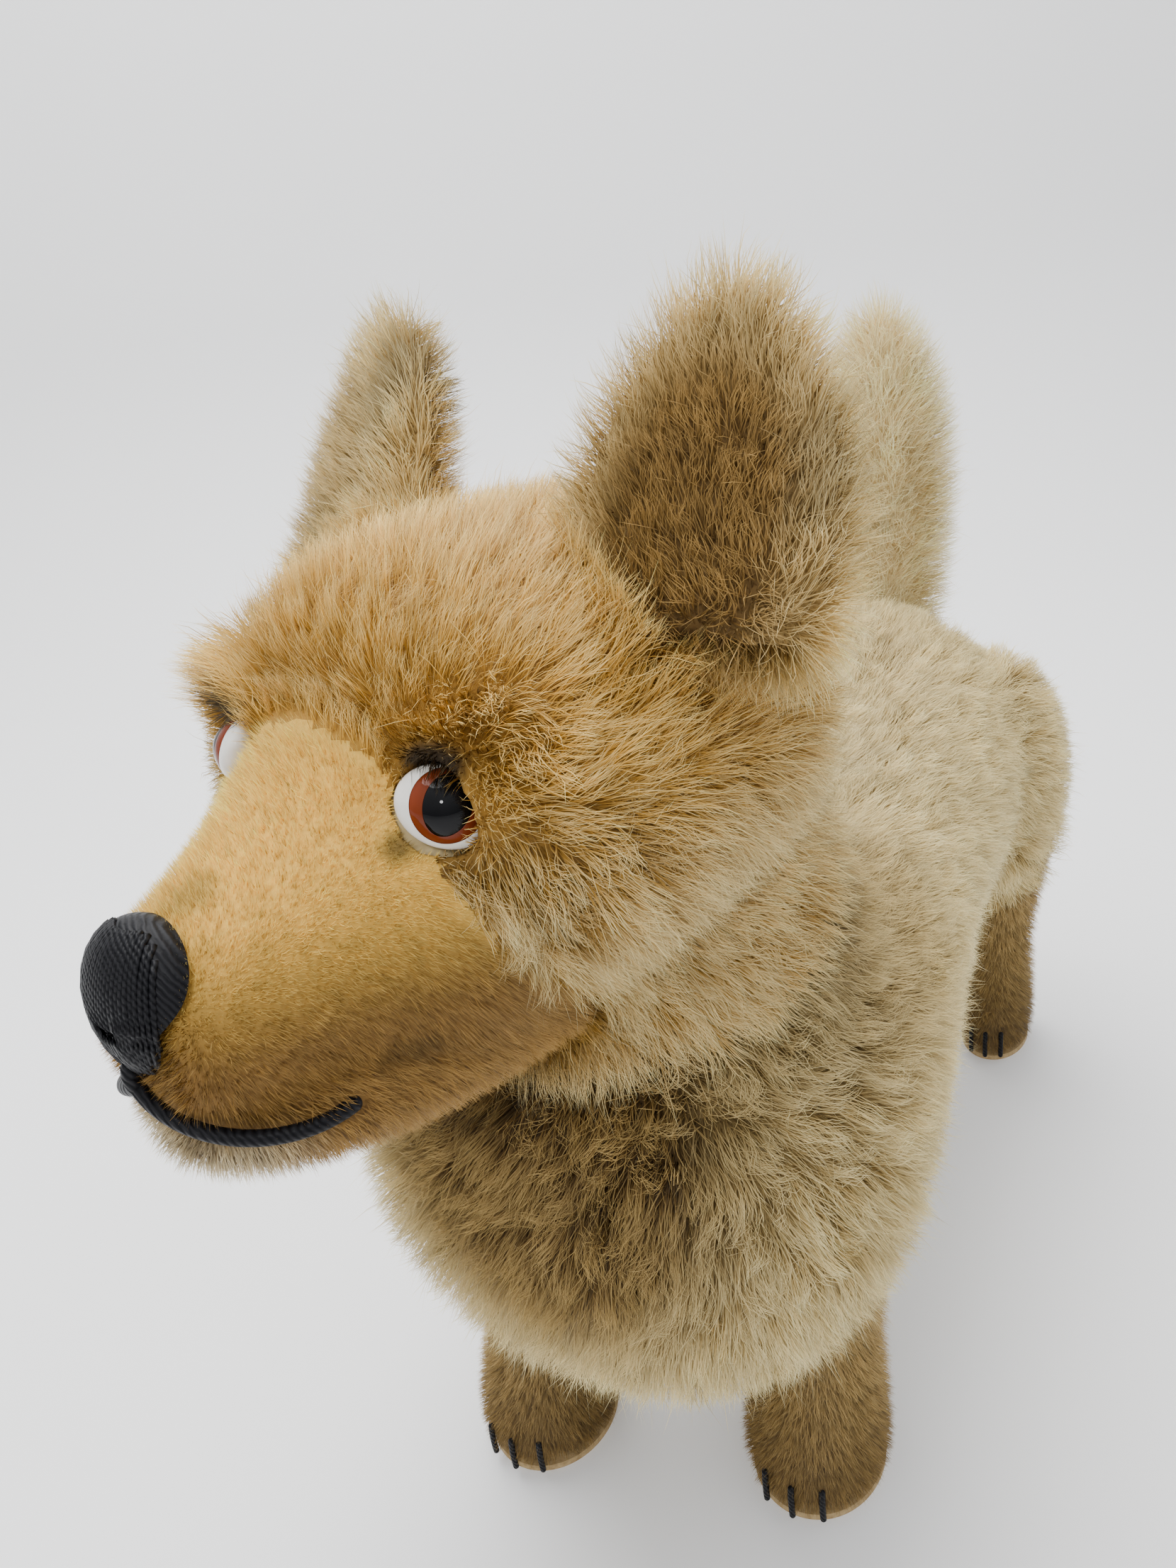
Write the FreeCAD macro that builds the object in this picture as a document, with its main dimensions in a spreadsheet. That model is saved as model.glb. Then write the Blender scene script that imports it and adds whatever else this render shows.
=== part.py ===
import FreeCAD, Part
import math
import os
import Sketcher

# A standing plush dog, about 29 cm tall, in millimetres.
# The dog faces -Y, its left side is +X, +Z is up, and its soles stand on Z = 0.
# Covers are closed shells as thick as their cloth and half of the standing pile.
# Two bodies move on each other: the head turns on the torso about the tilted neck joint.

V = FreeCAD.Vector
Place = FreeCAD.Placement
Turn = FreeCAD.Rotation
X_AXIS = V(1, 0, 0)
Y_AXIS = V(0, 1, 0)
Z_AXIS = V(0, 0, 1)
ORIGIN = V(0, 0, 0)
SIDES = (("left", 1), ("right", -1))

# ---------------------------------------------------------------- driving dimensions
SIZES = {
    # cloth, threads, wires and clearances
    "long_pile_cover": 7.0,
    "short_pile_cover": 3.5,
    "joint_face_cover": 3.0,
    "neck_gap": 1.2,
    "fit_gap": 0.2,
    "seat_clearance": 0.1,
    "running_clearance": 0.05,
    "armature_radius": 1.6,
    "armature_bend": 14.0,
    # torso, from the breast at the front to the rump
    "torso_start": -116.0,
    "torso_length": 273.0,
    "torso_base": 110.0,
    "torso_rise": 16.0,
    "torso_half_width": 61.0,
    "torso_half_height": 56.0,
    # haunches, the padded thighs beside the rump
    "haunch_x": 42.5,
    "haunch_z": 111.0,
    "haunch_half_width": 22.0,
    "haunch_half_length": 33.0,
    "haunch_half_height": 41.0,
    # front and hind legs, from the sole up
    "front_leg_x": 36.0,
    "front_leg_height": 96.0,
    "front_leg_lean": 8.0,
    "front_paw_half_width": 17.5,
    "front_paw_half_length": 20.5,
    "hind_leg_x": 46.0,
    "hind_leg_height": 96.0,
    "hind_leg_lean": 3.0,
    "hind_paw_half_width": 12.5,
    "hind_paw_half_length": 17.5,
    "sole_felt": 2.0,
    "sole_board": 1.5,
    "claw_thread_radius": 0.8,
    # tail
    "tail_foot": 150.0,
    "tail_height": 112.0,
    "tail_y": 143.5,
    "tail_lean": 13.0,
    "tail_half_width": 19.0,
    # skull, muzzle and jaw, in the head's own frame
    "skull_start": -69.0,
    "skull_length": 101.0,
    "skull_base": 41.0,
    "skull_rise": 0.0,
    "skull_half_width": 50.0,
    "skull_half_height": 40.0,
    "muzzle_start": -110.0,
    "muzzle_length": 66.0,
    "muzzle_base": 16.0,
    "muzzle_rise": 13.0,
    "muzzle_half_width": 38.0,
    "muzzle_half_height": 36.0,
    "jaw_start": -108.5,
    "jaw_length": 68.0,
    "jaw_base": 3.0,
    "jaw_rise": -4.0,
    "jaw_half_width": 26.0,
    "jaw_half_height": 15.5,
    "neck_half_width": 45.0,
    "neck_half_height": 42.0,
    "neck_height": 34.0,
    "neck_root_depth": 44.0,
    "neck_root_flare": 9.0,
    # ears, in each ear's own frame
    "ear_height": 58.0,
    "ear_half_width": 23.5,
    "ear_half_thickness": 9.0,
    # eyes, nose and mouth
    "eye_half_width": 8.0,
    "eye_half_height": 6.4,
    "eye_dome": 4.0,
    "iris_half_width": 6.6,
    "iris_half_height": 6.0,
    "iris_rise": 1.4,
    "pupil_radius": 5.7,
    "pupil_rise": 1.8,
    "eye_back": 2.5,
    "eye_wire_radius": 0.6,
    "eye_loop_radius": 2.4,
    "nose_half_width": 13.5,
    "nose_half_length": 9.0,
    "nose_half_height": 13.2,
    "mouth_thread_radius": 1.3,
    # neck joint
    "disc_radius": 25.0,
    "disc_thickness": 3.0,
    "washer_radius": 8.0,
    "washer_thickness": 1.2,
    "pin_radius": 1.5,
    "pin_eye_radius": 3.6,
    "pin_curl_radius": 4.0,
    "pin_wire_radius": 1.2,
    "pin_pocket_radius": 12.0,
}

# Where the legs stand: each leg's sole centre along Y, as the dog was sewn and stands.
STANCE = {
    ("front", "left"): -62.0,
    ("front", "right"): -77.0,
    ("hind", "left"): 128.0,
    ("hind", "right"): 120.0,
}

# Head pose at rest: a little turned to the dog's right, nose slightly down.
HEAD_TURN = -15.0
HEAD_NOD = -3.5
HEAD_ROLL = -1.5
HEAD_POINT = V(1.0, -66.0, 173.5)
HEAD = Place(HEAD_POINT, Turn(Z_AXIS, HEAD_TURN) * Turn(X_AXIS, HEAD_NOD) * Turn(Y_AXIS, HEAD_ROLL))

# Neck joint: its local Z is the axis that the head turns on, tilted forward.
NECK_TILT = 25.0
NECK_POINT = V(0.0, -68.0, 170.0)
NECK = Place(NECK_POINT, Turn(X_AXIS, NECK_TILT))

# Elliptical stations of the soft forms: (part of the length, of the half width, of the half height).
TORSO_STATIONS = (
    (0.0, 0.22, 0.22),
    (0.018, 0.56, 0.54),
    (0.060, 0.84, 0.84),
    (0.120, 0.96, 0.97),
    (0.190, 1.0, 1.0),
    (0.300, 0.99, 0.98),
    (0.450, 0.92, 0.88),
    (0.610, 0.88, 0.82),
    (0.750, 0.89, 0.85),
    (0.880, 0.80, 0.79),
    (0.950, 0.62, 0.62),
    (0.985, 0.42, 0.42),
    (1.0, 0.22, 0.22),
)
SKULL_STATIONS = (
    (0.0, 0.46, 0.40),
    (0.06, 0.88, 0.74),
    (0.18, 1.02, 0.92),
    (0.36, 1.03, 1.0),
    (0.58, 0.99, 1.0),
    (0.80, 0.86, 0.90),
    (0.94, 0.58, 0.62),
    (1.0, 0.24, 0.28),
)
MUZZLE_STATIONS = (
    (0.0, 0.34, 0.34),
    (0.10, 0.49, 0.48),
    (0.27, 0.59, 0.57),
    (0.48, 0.74, 0.74),
    (0.73, 0.93, 0.97),
    (1.0, 1.0, 1.0),
)
JAW_STATIONS = (
    (0.0, 0.36, 0.40),
    (0.14, 0.68, 0.74),
    (0.42, 0.90, 0.96),
    (0.74, 1.0, 1.0),
    (1.0, 1.0, 0.90),
)
# Upright forms: (part of the height, of the half width, of the half length, part of the lean).
FRONT_LEG_STATIONS = (
    (0.0, 0.97, 0.97, 0.0),
    (0.12, 1.0, 1.0, 0.0),
    (0.32, 0.87, 0.82, 0.45),
    (0.70, 0.92, 0.86, 1.0),
    (1.0, 0.97, 0.90, 1.0),
)
HIND_LEG_STATIONS = (
    (0.0, 0.94, 0.97, 0.0),
    (0.12, 1.0, 1.0, 0.0),
    (0.32, 0.90, 0.72, 0.8),
    (0.70, 1.10, 0.90, 1.0),
    (1.0, 1.15, 0.92, 1.0),
)
TAIL_STATIONS = (
    (0.0, 0.80, 0.80, 0.0),
    (0.28, 0.96, 0.96, 0.80),
    (0.58, 1.0, 1.0, 1.0),
    (0.84, 0.72, 0.72, 0.94),
    (0.96, 0.36, 0.36, 0.88),
    (1.0, 0.16, 0.16, 0.86),
)
EAR_STATIONS = (
    (0.0, 0.88, 1.0, 0.0),
    (0.30, 1.0, 0.90, 0.0),
    (0.60, 0.88, 0.70, 0.0),
    (0.82, 0.58, 0.50, 0.0),
    (0.95, 0.27, 0.26, 0.0),
    (1.0, 0.12, 0.12, 0.0),
)

doc = FreeCAD.newDocument("plush_dog")
subparts = []


# ---------------------------------------------------------------- sheet and helpers
def make_sheet():
    """Keep the driving dimensions in a spreadsheet, one alias per row."""
    sheet = doc.addObject("Spreadsheet::Sheet", "Sizes")
    for row, (alias, value) in enumerate(SIZES.items(), start=1):
        sheet.set(f"A{row}", alias)
        sheet.set(f"B{row}", str(value))
        sheet.setAlias(f"B{row}", alias)
    doc.recompute()
    return sheet


def size(alias):
    """Read one driving dimension from the sheet, in millimetres."""
    return float(sheet.get(alias))


def bind(item, **rules):
    """Bind properties of an object to expressions over the sheet's aliases."""
    for name, rule in rules.items():
        item.setExpression(name.replace("_of_", "."), rule)
    return item


def keep(item, label):
    """Name an object as a sub-part that is written to its own file."""
    item.Label = label
    subparts.append(item)
    return item


def cut(name, base, *tools):
    """Base without every tool."""
    result = base
    for number, tool in enumerate(tools):
        step = doc.addObject("Part::Cut", f"{name}_cut_{number}")
        step.Base = result
        step.Tool = tool
        result = step
    return result


def fuse(name, *items):
    joined = doc.addObject("Part::MultiFuse", f"{name}_fuse")
    joined.Shapes = list(items)
    return joined


def solid_feature(name, shape, place=Place()):
    """A plain feature for a shape made with Part's own functions."""
    item = doc.addObject("Part::Feature", name)
    item.Shape = shape
    item.Placement = place
    return item


def half_space(name, place):
    """A block that fills everything above a frame's XY plane near the dog."""
    reach = 300.0
    block = doc.addObject("Part::Box", name)
    block.Length = 2 * reach
    block.Width = 2 * reach
    block.Height = reach
    block.Placement = place.multiply(Place(V(-reach, -reach, 0), Turn()))
    return block


def lying_form(name, prefix, stations, wall="0", place=Place()):
    """Loft that lies along Y through upright ellipses, inset by the wall on every side."""
    sections = []
    for number, (along, wide, tall) in enumerate(stations):
        ring = doc.addObject("Part::Ellipse", f"{name}_ring_{number}")
        ring.Placement = Place(ORIGIN, Turn(X_AXIS, 90))
        bind(
            ring,
            MajorRadius=f"max(Sizes.{prefix}_half_width * {wide} - {wall}; 1.2)",
            MinorRadius=f"max(Sizes.{prefix}_half_height * {tall} - {wall}; 1.1)",
            Placement_of_Base_of_y=(
                f"Sizes.{prefix}_start + {wall} + {along} * (Sizes.{prefix}_length - 2 * {wall})"
            ),
            Placement_of_Base_of_z=f"Sizes.{prefix}_base + {along} * Sizes.{prefix}_rise",
        )
        sections.append(ring)
    return loft(name, sections, place)


def loft(name, sections, place):
    form = doc.addObject("Part::Loft", name)
    form.Sections = sections
    form.Solid = True
    form.Placement = place
    return form


def leg_form(name, end, side, sign, wall="0", foot="0"):
    """Loft that stands on its sole through level ellipses, longer along Y than across."""
    stations = FRONT_LEG_STATIONS if end == "front" else HIND_LEG_STATIONS
    sole_y = STANCE[(end, side)]
    sections = []
    for number, (up, wide, deep, lean) in enumerate(stations):
        ring = doc.addObject("Part::Ellipse", f"{name}_ring_{number}")
        ring.Placement = Place(ORIGIN, Turn(Z_AXIS, 90))
        bind(
            ring,
            MajorRadius=f"Sizes.{end}_paw_half_length * {deep} - {wall}",
            MinorRadius=f"Sizes.{end}_paw_half_width * {wide} - {wall}",
            Placement_of_Base_of_x=f"{sign} * Sizes.{end}_leg_x",
            Placement_of_Base_of_y=f"{sole_y} + {lean} * Sizes.{end}_leg_lean",
            Placement_of_Base_of_z=f"{foot} + {up} * (Sizes.{end}_leg_height - {foot})",
        )
        sections.append(ring)
    return loft(name, sections, Place())


def tail_form(name, wall="0"):
    """Loft of the upright tail, round in section, that leans back as it rises."""
    sections = []
    for number, (up, wide, deep, lean) in enumerate(TAIL_STATIONS):
        ring = doc.addObject("Part::Ellipse", f"{name}_ring_{number}")
        bind(
            ring,
            MajorRadius=f"max(Sizes.tail_half_width * {wide} - {wall}; 1.2)",
            MinorRadius=f"max(Sizes.tail_half_width * {deep} - {wall}; 1.1)",
            Placement_of_Base_of_y=f"Sizes.tail_y + {lean} * Sizes.tail_lean",
            Placement_of_Base_of_z=f"Sizes.tail_foot + {up} * (Sizes.tail_height - {wall})",
        )
        sections.append(ring)
    return loft(name, sections, Place())


def ear_form(name, place, inset=0.0, forward=0.0):
    """Leaf-shaped loft of an ear that stands on its base in the ear's own frame."""
    shrink = 1.0 - inset
    sections = []
    for number, (up, wide, deep, _) in enumerate(EAR_STATIONS):
        ring = doc.addObject("Part::Ellipse", f"{name}_ring_{number}")
        bind(
            ring,
            MajorRadius=f"Sizes.ear_half_width * {wide * shrink}",
            MinorRadius=f"Sizes.ear_half_thickness * {deep * shrink}",
            Placement_of_Base_of_y=f"-{forward} * Sizes.ear_half_thickness * {deep}",
            Placement_of_Base_of_z=f"{up * shrink} * Sizes.ear_height",
        )
        sections.append(ring)
    return loft(name, sections, place)


def ellipsoid(name, place, half_x, half_y, half_z):
    ball = doc.addObject("Part::Ellipsoid", name)
    ball.Placement = place
    return bind(ball, Radius1=half_z, Radius2=half_x, Radius3=half_y)


def bent_rod(points, bend, radius):
    """Round rod along straight runs that are joined by tangent arcs."""
    edges = []
    start = points[0]
    for before, corner, after in zip(points, points[1:], points[2:]):
        back = (before - corner).normalize()
        ahead = (after - corner).normalize()
        half_angle = back.getAngle(ahead) / 2
        reach = bend / math.tan(half_angle)
        middle = (back + ahead).normalize()
        centre = corner + middle * (bend / math.sin(half_angle))
        enter = corner + back * reach
        leave = corner + ahead * reach
        crown = centre - middle * bend
        edges.append(Part.makeLine(start, enter))
        edges.append(Part.Arc(enter, crown, leave).toShape())
        start = leave
    edges.append(Part.makeLine(start, points[-1]))
    spine = Part.Wire(edges)
    circle = Part.makeCircle(radius, points[0], points[1] - points[0])
    return spine.makePipeShell([Part.Wire(circle)], True, True)


def thread(first, middle, last, radius):
    """One stitch: a round thread along the arc through three points, with round ends."""
    arc = Part.Arc(first, middle, last).toShape()
    circle = Part.makeCircle(radius, first, arc.tangentAt(arc.FirstParameter))
    tube = Part.Wire([arc]).makePipeShell([Part.Wire(circle)], True, True)
    ends = [Part.makeSphere(radius, point) for point in (first, last)]
    return tube.fuse(ends).removeSplitter()


def disc_body(name, place, radius, thickness, bore):
    """Round plate with a centre hole, padded from a sketch on the body's own XY plane."""
    body = doc.addObject("PartDesign::Body", name)
    sketch = body.newObject("Sketcher::SketchObject", f"{name}_sketch")
    plane = [item for item in body.Origin.OriginFeatures if item.Role == "XY_Plane"][0]
    sketch.AttachmentSupport = [(plane, "")]
    sketch.MapMode = "FlatFace"
    for number, rule in enumerate((radius, bore)):
        sketch.addGeometry(Part.Circle(ORIGIN, Z_AXIS, 5.0 + number), False)
        sketch.addConstraint(Sketcher.Constraint("Coincident", number, 3, -1, 1))
        row = sketch.addConstraint(Sketcher.Constraint("Radius", number, 5.0 + number))
        sketch.setExpression(f"Constraints[{row}]", rule)
    pad = body.newObject("PartDesign::Pad", f"{name}_pad")
    pad.Profile = sketch
    bind(pad, Length=thickness)
    body.Placement = place
    return body


sheet = make_sheet()


# ---------------------------------------------------------------- torso, haunches and tail
LONG = "Sizes.long_pile_cover"
SHORT = "Sizes.short_pile_cover"
GAP = "Sizes.fit_gap"


def make_forms(maker, name, cover, **options):
    """The four nested forms of one soft part: outside, hollow, stuffing core and clearance."""
    return {
        "outer": maker(f"{name}_outer", **options),
        "hollow": maker(f"{name}_hollow", wall=cover, **options),
        "core": maker(f"{name}_core", wall=f"({cover} + {GAP})", **options),
        "clear": maker(f"{name}_clear", wall=f"(-{GAP})", **options),
    }


def torso_form(name, wall="0"):
    """Barrel of the body with the root of the neck that rises to the joint's plane."""
    barrel = lying_form(f"{name}_barrel", "torso", TORSO_STATIONS, wall)
    sections = []
    for number, (up, flare) in enumerate(((-1.0, 1.0), (-0.45, 0.35), (0.12, 0.0))):
        ring = doc.addObject("Part::Ellipse", f"{name}_root_ring_{number}")
        bind(
            ring,
            MajorRadius=f"Sizes.neck_half_width + {flare} * Sizes.neck_root_flare - {wall}",
            MinorRadius=f"Sizes.neck_half_height + {flare} * Sizes.neck_root_flare - {wall}",
            Placement_of_Base_of_z=f"{up} * Sizes.neck_root_depth",
        )
        sections.append(ring)
    root = loft(f"{name}_root", sections, NECK)
    return fuse(name, barrel, root)


def haunch_form(name, side, sign, wall="0"):
    """Ellipsoid of a thigh, centred just ahead of its leg, with its poles across the body."""
    poles_across = Turn(Y_AXIS, -90)
    ahead = 3.0
    point = V(sign * size("haunch_x"), STANCE[("hind", side)] - ahead, size("haunch_z"))
    half_width = f"Sizes.haunch_half_width - {wall}"
    half_length = f"Sizes.haunch_half_length - {wall}"
    half_height = f"Sizes.haunch_half_height - {wall}"
    return ellipsoid(name, Place(point, poles_across), half_height, half_length, half_width)


def neck_level(height):
    """The neck joint's frame, moved along its axis."""
    return NECK.multiply(Place(V(0, 0, height), Turn()))


def belly_height(y):
    """Lowest height of the barrel at one place along the body, between its stations."""
    part_way = (y - size("torso_start")) / size("torso_length")
    for before, after in zip(TORSO_STATIONS, TORSO_STATIONS[1:]):
        if part_way <= after[0]:
            break
    mix = (part_way - before[0]) / (after[0] - before[0])
    tall = before[2] + mix * (after[2] - before[2])
    middle = size("torso_base") + part_way * size("torso_rise")
    return middle - size("torso_half_height") * tall


def make_belly_stitches(name, radius):
    """The hand-sewn closing seam: short threads across the belly's centre line."""
    count = 9
    pitch = 8.0
    first_y = -20.0
    reach = 3.0
    sunk = 0.4
    stitches = []
    for number in range(count):
        y = first_y + number * pitch
        z = belly_height(y) + sunk
        left_end = V(-reach, y - 1, z + 0.6)
        right_end = V(reach, y + 1, z + 0.6)
        stitches.append(thread(left_end, V(0, y, z), right_end, radius))
    return solid_feature(name, Part.makeCompound(stitches))


def make_torso(wires):
    """Long-pile cover with a closed neck face, and the stuffing that it holds."""
    forms = make_forms(torso_form, "torso", LONG)
    face = -size("neck_gap") / 2
    inside_face = face - size("joint_face_cover")
    trim = half_space("torso_trim", neck_level(face))
    hollow_trim = half_space("torso_hollow_trim", neck_level(inside_face))
    core_trim = half_space("torso_core_trim", neck_level(inside_face - size("fit_gap")))
    shell = cut("torso_shell", forms["outer"], trim)
    hollow = cut("torso_hollow_cut", forms["hollow"], hollow_trim)
    core = cut("torso_core_cut", forms["core"], core_trim)
    stitches = make_belly_stitches("belly_seam_stitches", size("claw_thread_radius"))
    groove = make_belly_stitches("belly_seam_groove", size("claw_thread_radius") + size("seat_clearance"))
    keep(stitches, "belly_seam_stitches")
    keep(cut("body_cover", shell, pin_hole_in_torso, hollow, *wires, groove), "body_cover")
    keep(cut("body_stuffing", core, joint_pocket_in_torso, *wires), "body_stuffing")
    return forms


def make_haunch(side, sign, torso, wires):
    """A padded thigh sewn on beside the rump."""
    forms = make_forms(haunch_form, f"{side}_haunch", LONG, side=side, sign=sign)
    cover = cut(f"{side}_haunch_cover", forms["outer"], forms["hollow"], torso["clear"], *wires)
    stuffing = cut(f"{side}_haunch_stuffing", forms["core"], torso["clear"], *wires)
    keep(cover, f"{side}_haunch_cover")
    keep(stuffing, f"{side}_haunch_stuffing")
    return forms


def make_tail(torso, wire):
    """Upright tail with its cover, stuffing and wire."""
    forms = make_forms(tail_form, "tail", LONG)
    keep(cut("tail_cover", forms["outer"], forms["hollow"], torso["clear"], wire), "tail_cover")
    keep(cut("tail_stuffing", forms["core"], torso["clear"], wire), "tail_stuffing")


# ---------------------------------------------------------------- legs
def flat_ellipse(name, end, side, sign, wall, low, thick):
    """Level plate in the outline of a sole, inset by the wall."""
    ring = doc.addObject("Part::Ellipse", f"{name}_outline")
    ring.Placement = Place(V(0, STANCE[(end, side)], 0), Turn(Z_AXIS, 90))
    stations = FRONT_LEG_STATIONS if end == "front" else HIND_LEG_STATIONS
    _, wide, deep, _ = stations[0]
    bind(
        ring,
        MajorRadius=f"Sizes.{end}_paw_half_length * {deep} - {wall}",
        MinorRadius=f"Sizes.{end}_paw_half_width * {wide} - {wall}",
        Placement_of_Base_of_x=f"{sign} * Sizes.{end}_leg_x",
        Placement_of_Base_of_z=low,
    )
    plate = doc.addObject("Part::Extrusion", name)
    plate.Base = ring
    plate.DirMode = "Custom"
    plate.Dir = Z_AXIS
    plate.Solid = True
    return bind(plate, LengthFwd=thick)


def make_claws(name, end, side, sign, radius):
    """Three long stitches that lie down the front of a paw and mark its toes."""
    half_width = size(f"{end}_paw_half_width")
    half_length = size(f"{end}_paw_half_length")
    spread = 0.42
    low, high = 3.5, 13.0
    stitches = []
    for column in (-1, 0, 1):
        offset = column * spread * half_width
        depth = half_length * math.sqrt(1 - (column * spread) ** 2)
        x = sign * size(f"{end}_leg_x") + offset
        y = STANCE[(end, side)] - depth - radius - 4 * size("fit_gap")
        middle = V(x, y - 0.15, (low + high) / 2)
        stitches.append(thread(V(x, y, low), middle, V(x, y + 0.2, high), radius))
    return solid_feature(name, Part.makeCompound(stitches))


def make_leg(end, side, sign, above, wire):
    """One leg: short-pile cover, stuffing, sole board, felt sole and claw stitches."""
    leg = f"{side}_{end}"
    felt = "Sizes.sole_felt"
    board_top = size("sole_felt") + size("sole_board") + size("fit_gap")
    options = {"end": end, "side": side, "sign": sign}
    outer = leg_form(f"{leg}_outer", foot=f"({felt} + 0.05)", **options)
    hollow = leg_form(f"{leg}_hollow", wall=SHORT, foot=f"({felt} - 1)", **options)
    core = leg_form(f"{leg}_core", wall=f"({SHORT} + {GAP})", foot=f"({felt} - 1)", **options)
    under = half_space(f"{leg}_under_board", Place(V(0, 0, board_top), Turn(X_AXIS, 180)))
    claws = make_claws(f"{leg}_claw_stitches", radius=size("claw_thread_radius"), **options)
    cover = cut(f"{leg}_leg_cover", outer, hollow, *above)
    stuffing = cut(f"{leg}_leg_stuffing", core, under, wire, *above)
    sole = flat_ellipse(f"{leg}_sole_pad", wall="0", low="0", thick=felt, **options)
    board_low = f"{felt} + 0.05"
    board = flat_ellipse(
        f"{leg}_sole_board", wall=f"({SHORT} + {GAP})", low=board_low, thick="Sizes.sole_board", **options
    )
    keep(cover, f"{leg}_leg_cover")
    keep(stuffing, f"{leg}_leg_stuffing")
    keep(sole, f"{leg}_sole_pad")
    keep(board, f"{leg}_sole_board")
    keep(claws, f"{leg}_claw_stitches")


def armature(name, end, radius):
    """One wire that runs up a leg, across inside the torso and down the other leg."""
    x = size(f"{end}_leg_x")
    lean = size(f"{end}_leg_lean")
    foot = 7.0
    top = 104.0
    left_y = STANCE[(end, "left")]
    right_y = STANCE[(end, "right")]
    points = [
        V(x, left_y + 1, foot),
        V(x, left_y + lean, top),
        V(-x, right_y + lean, top),
        V(-x, right_y + 1, foot),
    ]
    return solid_feature(name, bent_rod(points, size("armature_bend"), radius))


def tail_wire(name, radius):
    """Wire from the rump's stuffing up through the tail."""
    y = size("tail_y")
    lean = size("tail_lean")
    points = [V(0, y - 26, 132), V(0, y + 0.9 * lean, 186), V(0, y + 0.95 * lean, 248)]
    return solid_feature(name, bent_rod(points, size("armature_bend"), radius))


# ---------------------------------------------------------------- neck joint
def cylinder_at(name, low, high, radius):
    """A cylinder on the neck axis between two heights of the joint's frame."""
    item = doc.addObject("Part::Cylinder", name)
    item.Radius = radius
    item.Height = high - low
    item.Placement = neck_level(low)
    return item


def cotter_pin(face):
    """Split pin: an eye above the head's washer, a shank, and two legs curled in the torso."""
    shank_radius = size("pin_radius")
    wire = size("pin_wire_radius")
    eye = size("pin_eye_radius")
    curl = size("pin_curl_radius")
    eye_centre = face + eye + wire
    shank = Part.makeCylinder(shank_radius, eye_centre - eye + face + wire, V(0, 0, -face - wire))
    ring = Part.makeTorus(eye, wire, V(0, 0, eye_centre), Y_AXIS)
    legs = []
    for sign in (1, -1):
        start = V(0, 0, -face - wire)
        lowest = V(sign * curl, 0, -face - wire - curl)
        tip = V(sign * 2 * curl, 0, -face - wire)
        legs.append(thread(start, lowest, tip, wire))
    return solid_feature("neck_cotter_pin", shank.fuse([ring] + legs), NECK)


def make_neck_joint():
    """Two board discs and two steel washers, clamped over the cloth by the split pin."""
    half_gap = size("neck_gap") / 2
    cloth = half_gap + size("joint_face_cover")
    disc = size("disc_thickness")
    washer = size("washer_thickness")
    disc_far = cloth + disc
    face = disc_far + washer
    running = "Sizes.pin_radius + Sizes.running_clearance"
    rows = (
        ("neck_head_disc", cloth, "Sizes.disc_radius", "Sizes.disc_thickness"),
        ("neck_head_washer", disc_far, "Sizes.washer_radius", "Sizes.washer_thickness"),
        ("neck_body_disc", -disc_far, "Sizes.disc_radius", "Sizes.disc_thickness"),
        ("neck_body_washer", -face, "Sizes.washer_radius", "Sizes.washer_thickness"),
    )
    for name, low, radius, thickness in rows:
        keep(disc_body(name, neck_level(low), radius, thickness, running), name)
    keep(cotter_pin(face), "neck_cotter_pin")
    gap = size("fit_gap")
    hole = size("pin_radius") + size("running_clearance")
    pocket_depth = size("pin_curl_radius") + 2 * size("pin_wire_radius") + 1
    eye_room = 2 * (size("pin_eye_radius") + size("pin_wire_radius")) + 1
    disc_room = size("disc_radius") + gap
    in_torso = fuse(
        "joint_pocket_in_torso",
        cylinder_at("torso_disc_room", -face - gap, 0, disc_room),
        cylinder_at("torso_pin_room", -face - pocket_depth, 0, size("pin_pocket_radius")),
    )
    in_head = fuse(
        "joint_pocket_in_head",
        cylinder_at("head_disc_room", 0, face + gap, disc_room),
        cylinder_at("head_pin_room", 0, face + eye_room, size("pin_eye_radius") + 2.5),
    )
    torso_hole = cylinder_at("pin_hole_in_torso", -cloth - 1, 0, hole)
    head_hole = cylinder_at("pin_hole_in_head", 0, cloth + 1, hole)
    return in_torso, in_head, torso_hole, head_hole


# ---------------------------------------------------------------- head
def skull_form(name, wall="0"):
    return lying_form(name, "skull", SKULL_STATIONS, wall, HEAD)


def muzzle_form(name, wall="0"):
    return lying_form(name, "muzzle", MUZZLE_STATIONS, wall, HEAD)


def jaw_form(name, wall="0"):
    return lying_form(name, "jaw", JAW_STATIONS, wall, HEAD)


def neck_form(name, wall="0"):
    """Short neck that stands on the joint's plane and ends inside the skull."""
    sections = []
    for number, (up, wide) in enumerate(((-0.15, 1.03), (0.45, 0.97), (1.0, 0.76))):
        ring = doc.addObject("Part::Ellipse", f"{name}_ring_{number}")
        bind(
            ring,
            MajorRadius=f"Sizes.neck_half_width * {wide} - {wall}",
            MinorRadius=f"Sizes.neck_half_height * {wide} - {wall}",
            Placement_of_Base_of_z=f"{up} * (Sizes.neck_height - {wall})",
        )
        sections.append(ring)
    return loft(name, sections, NECK)


EYE_POINT = V(27.5, -65.7, 46.2)
EYE_OUT = V(0.75, -0.50, 0.42)
EYE_SLANT = 28.0
EAR_POINT = V(43.0, -25.0, 62.0)
EAR_BACK = 22.0
EAR_OUT = 4.0
EAR_YAW = 14.0


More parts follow.
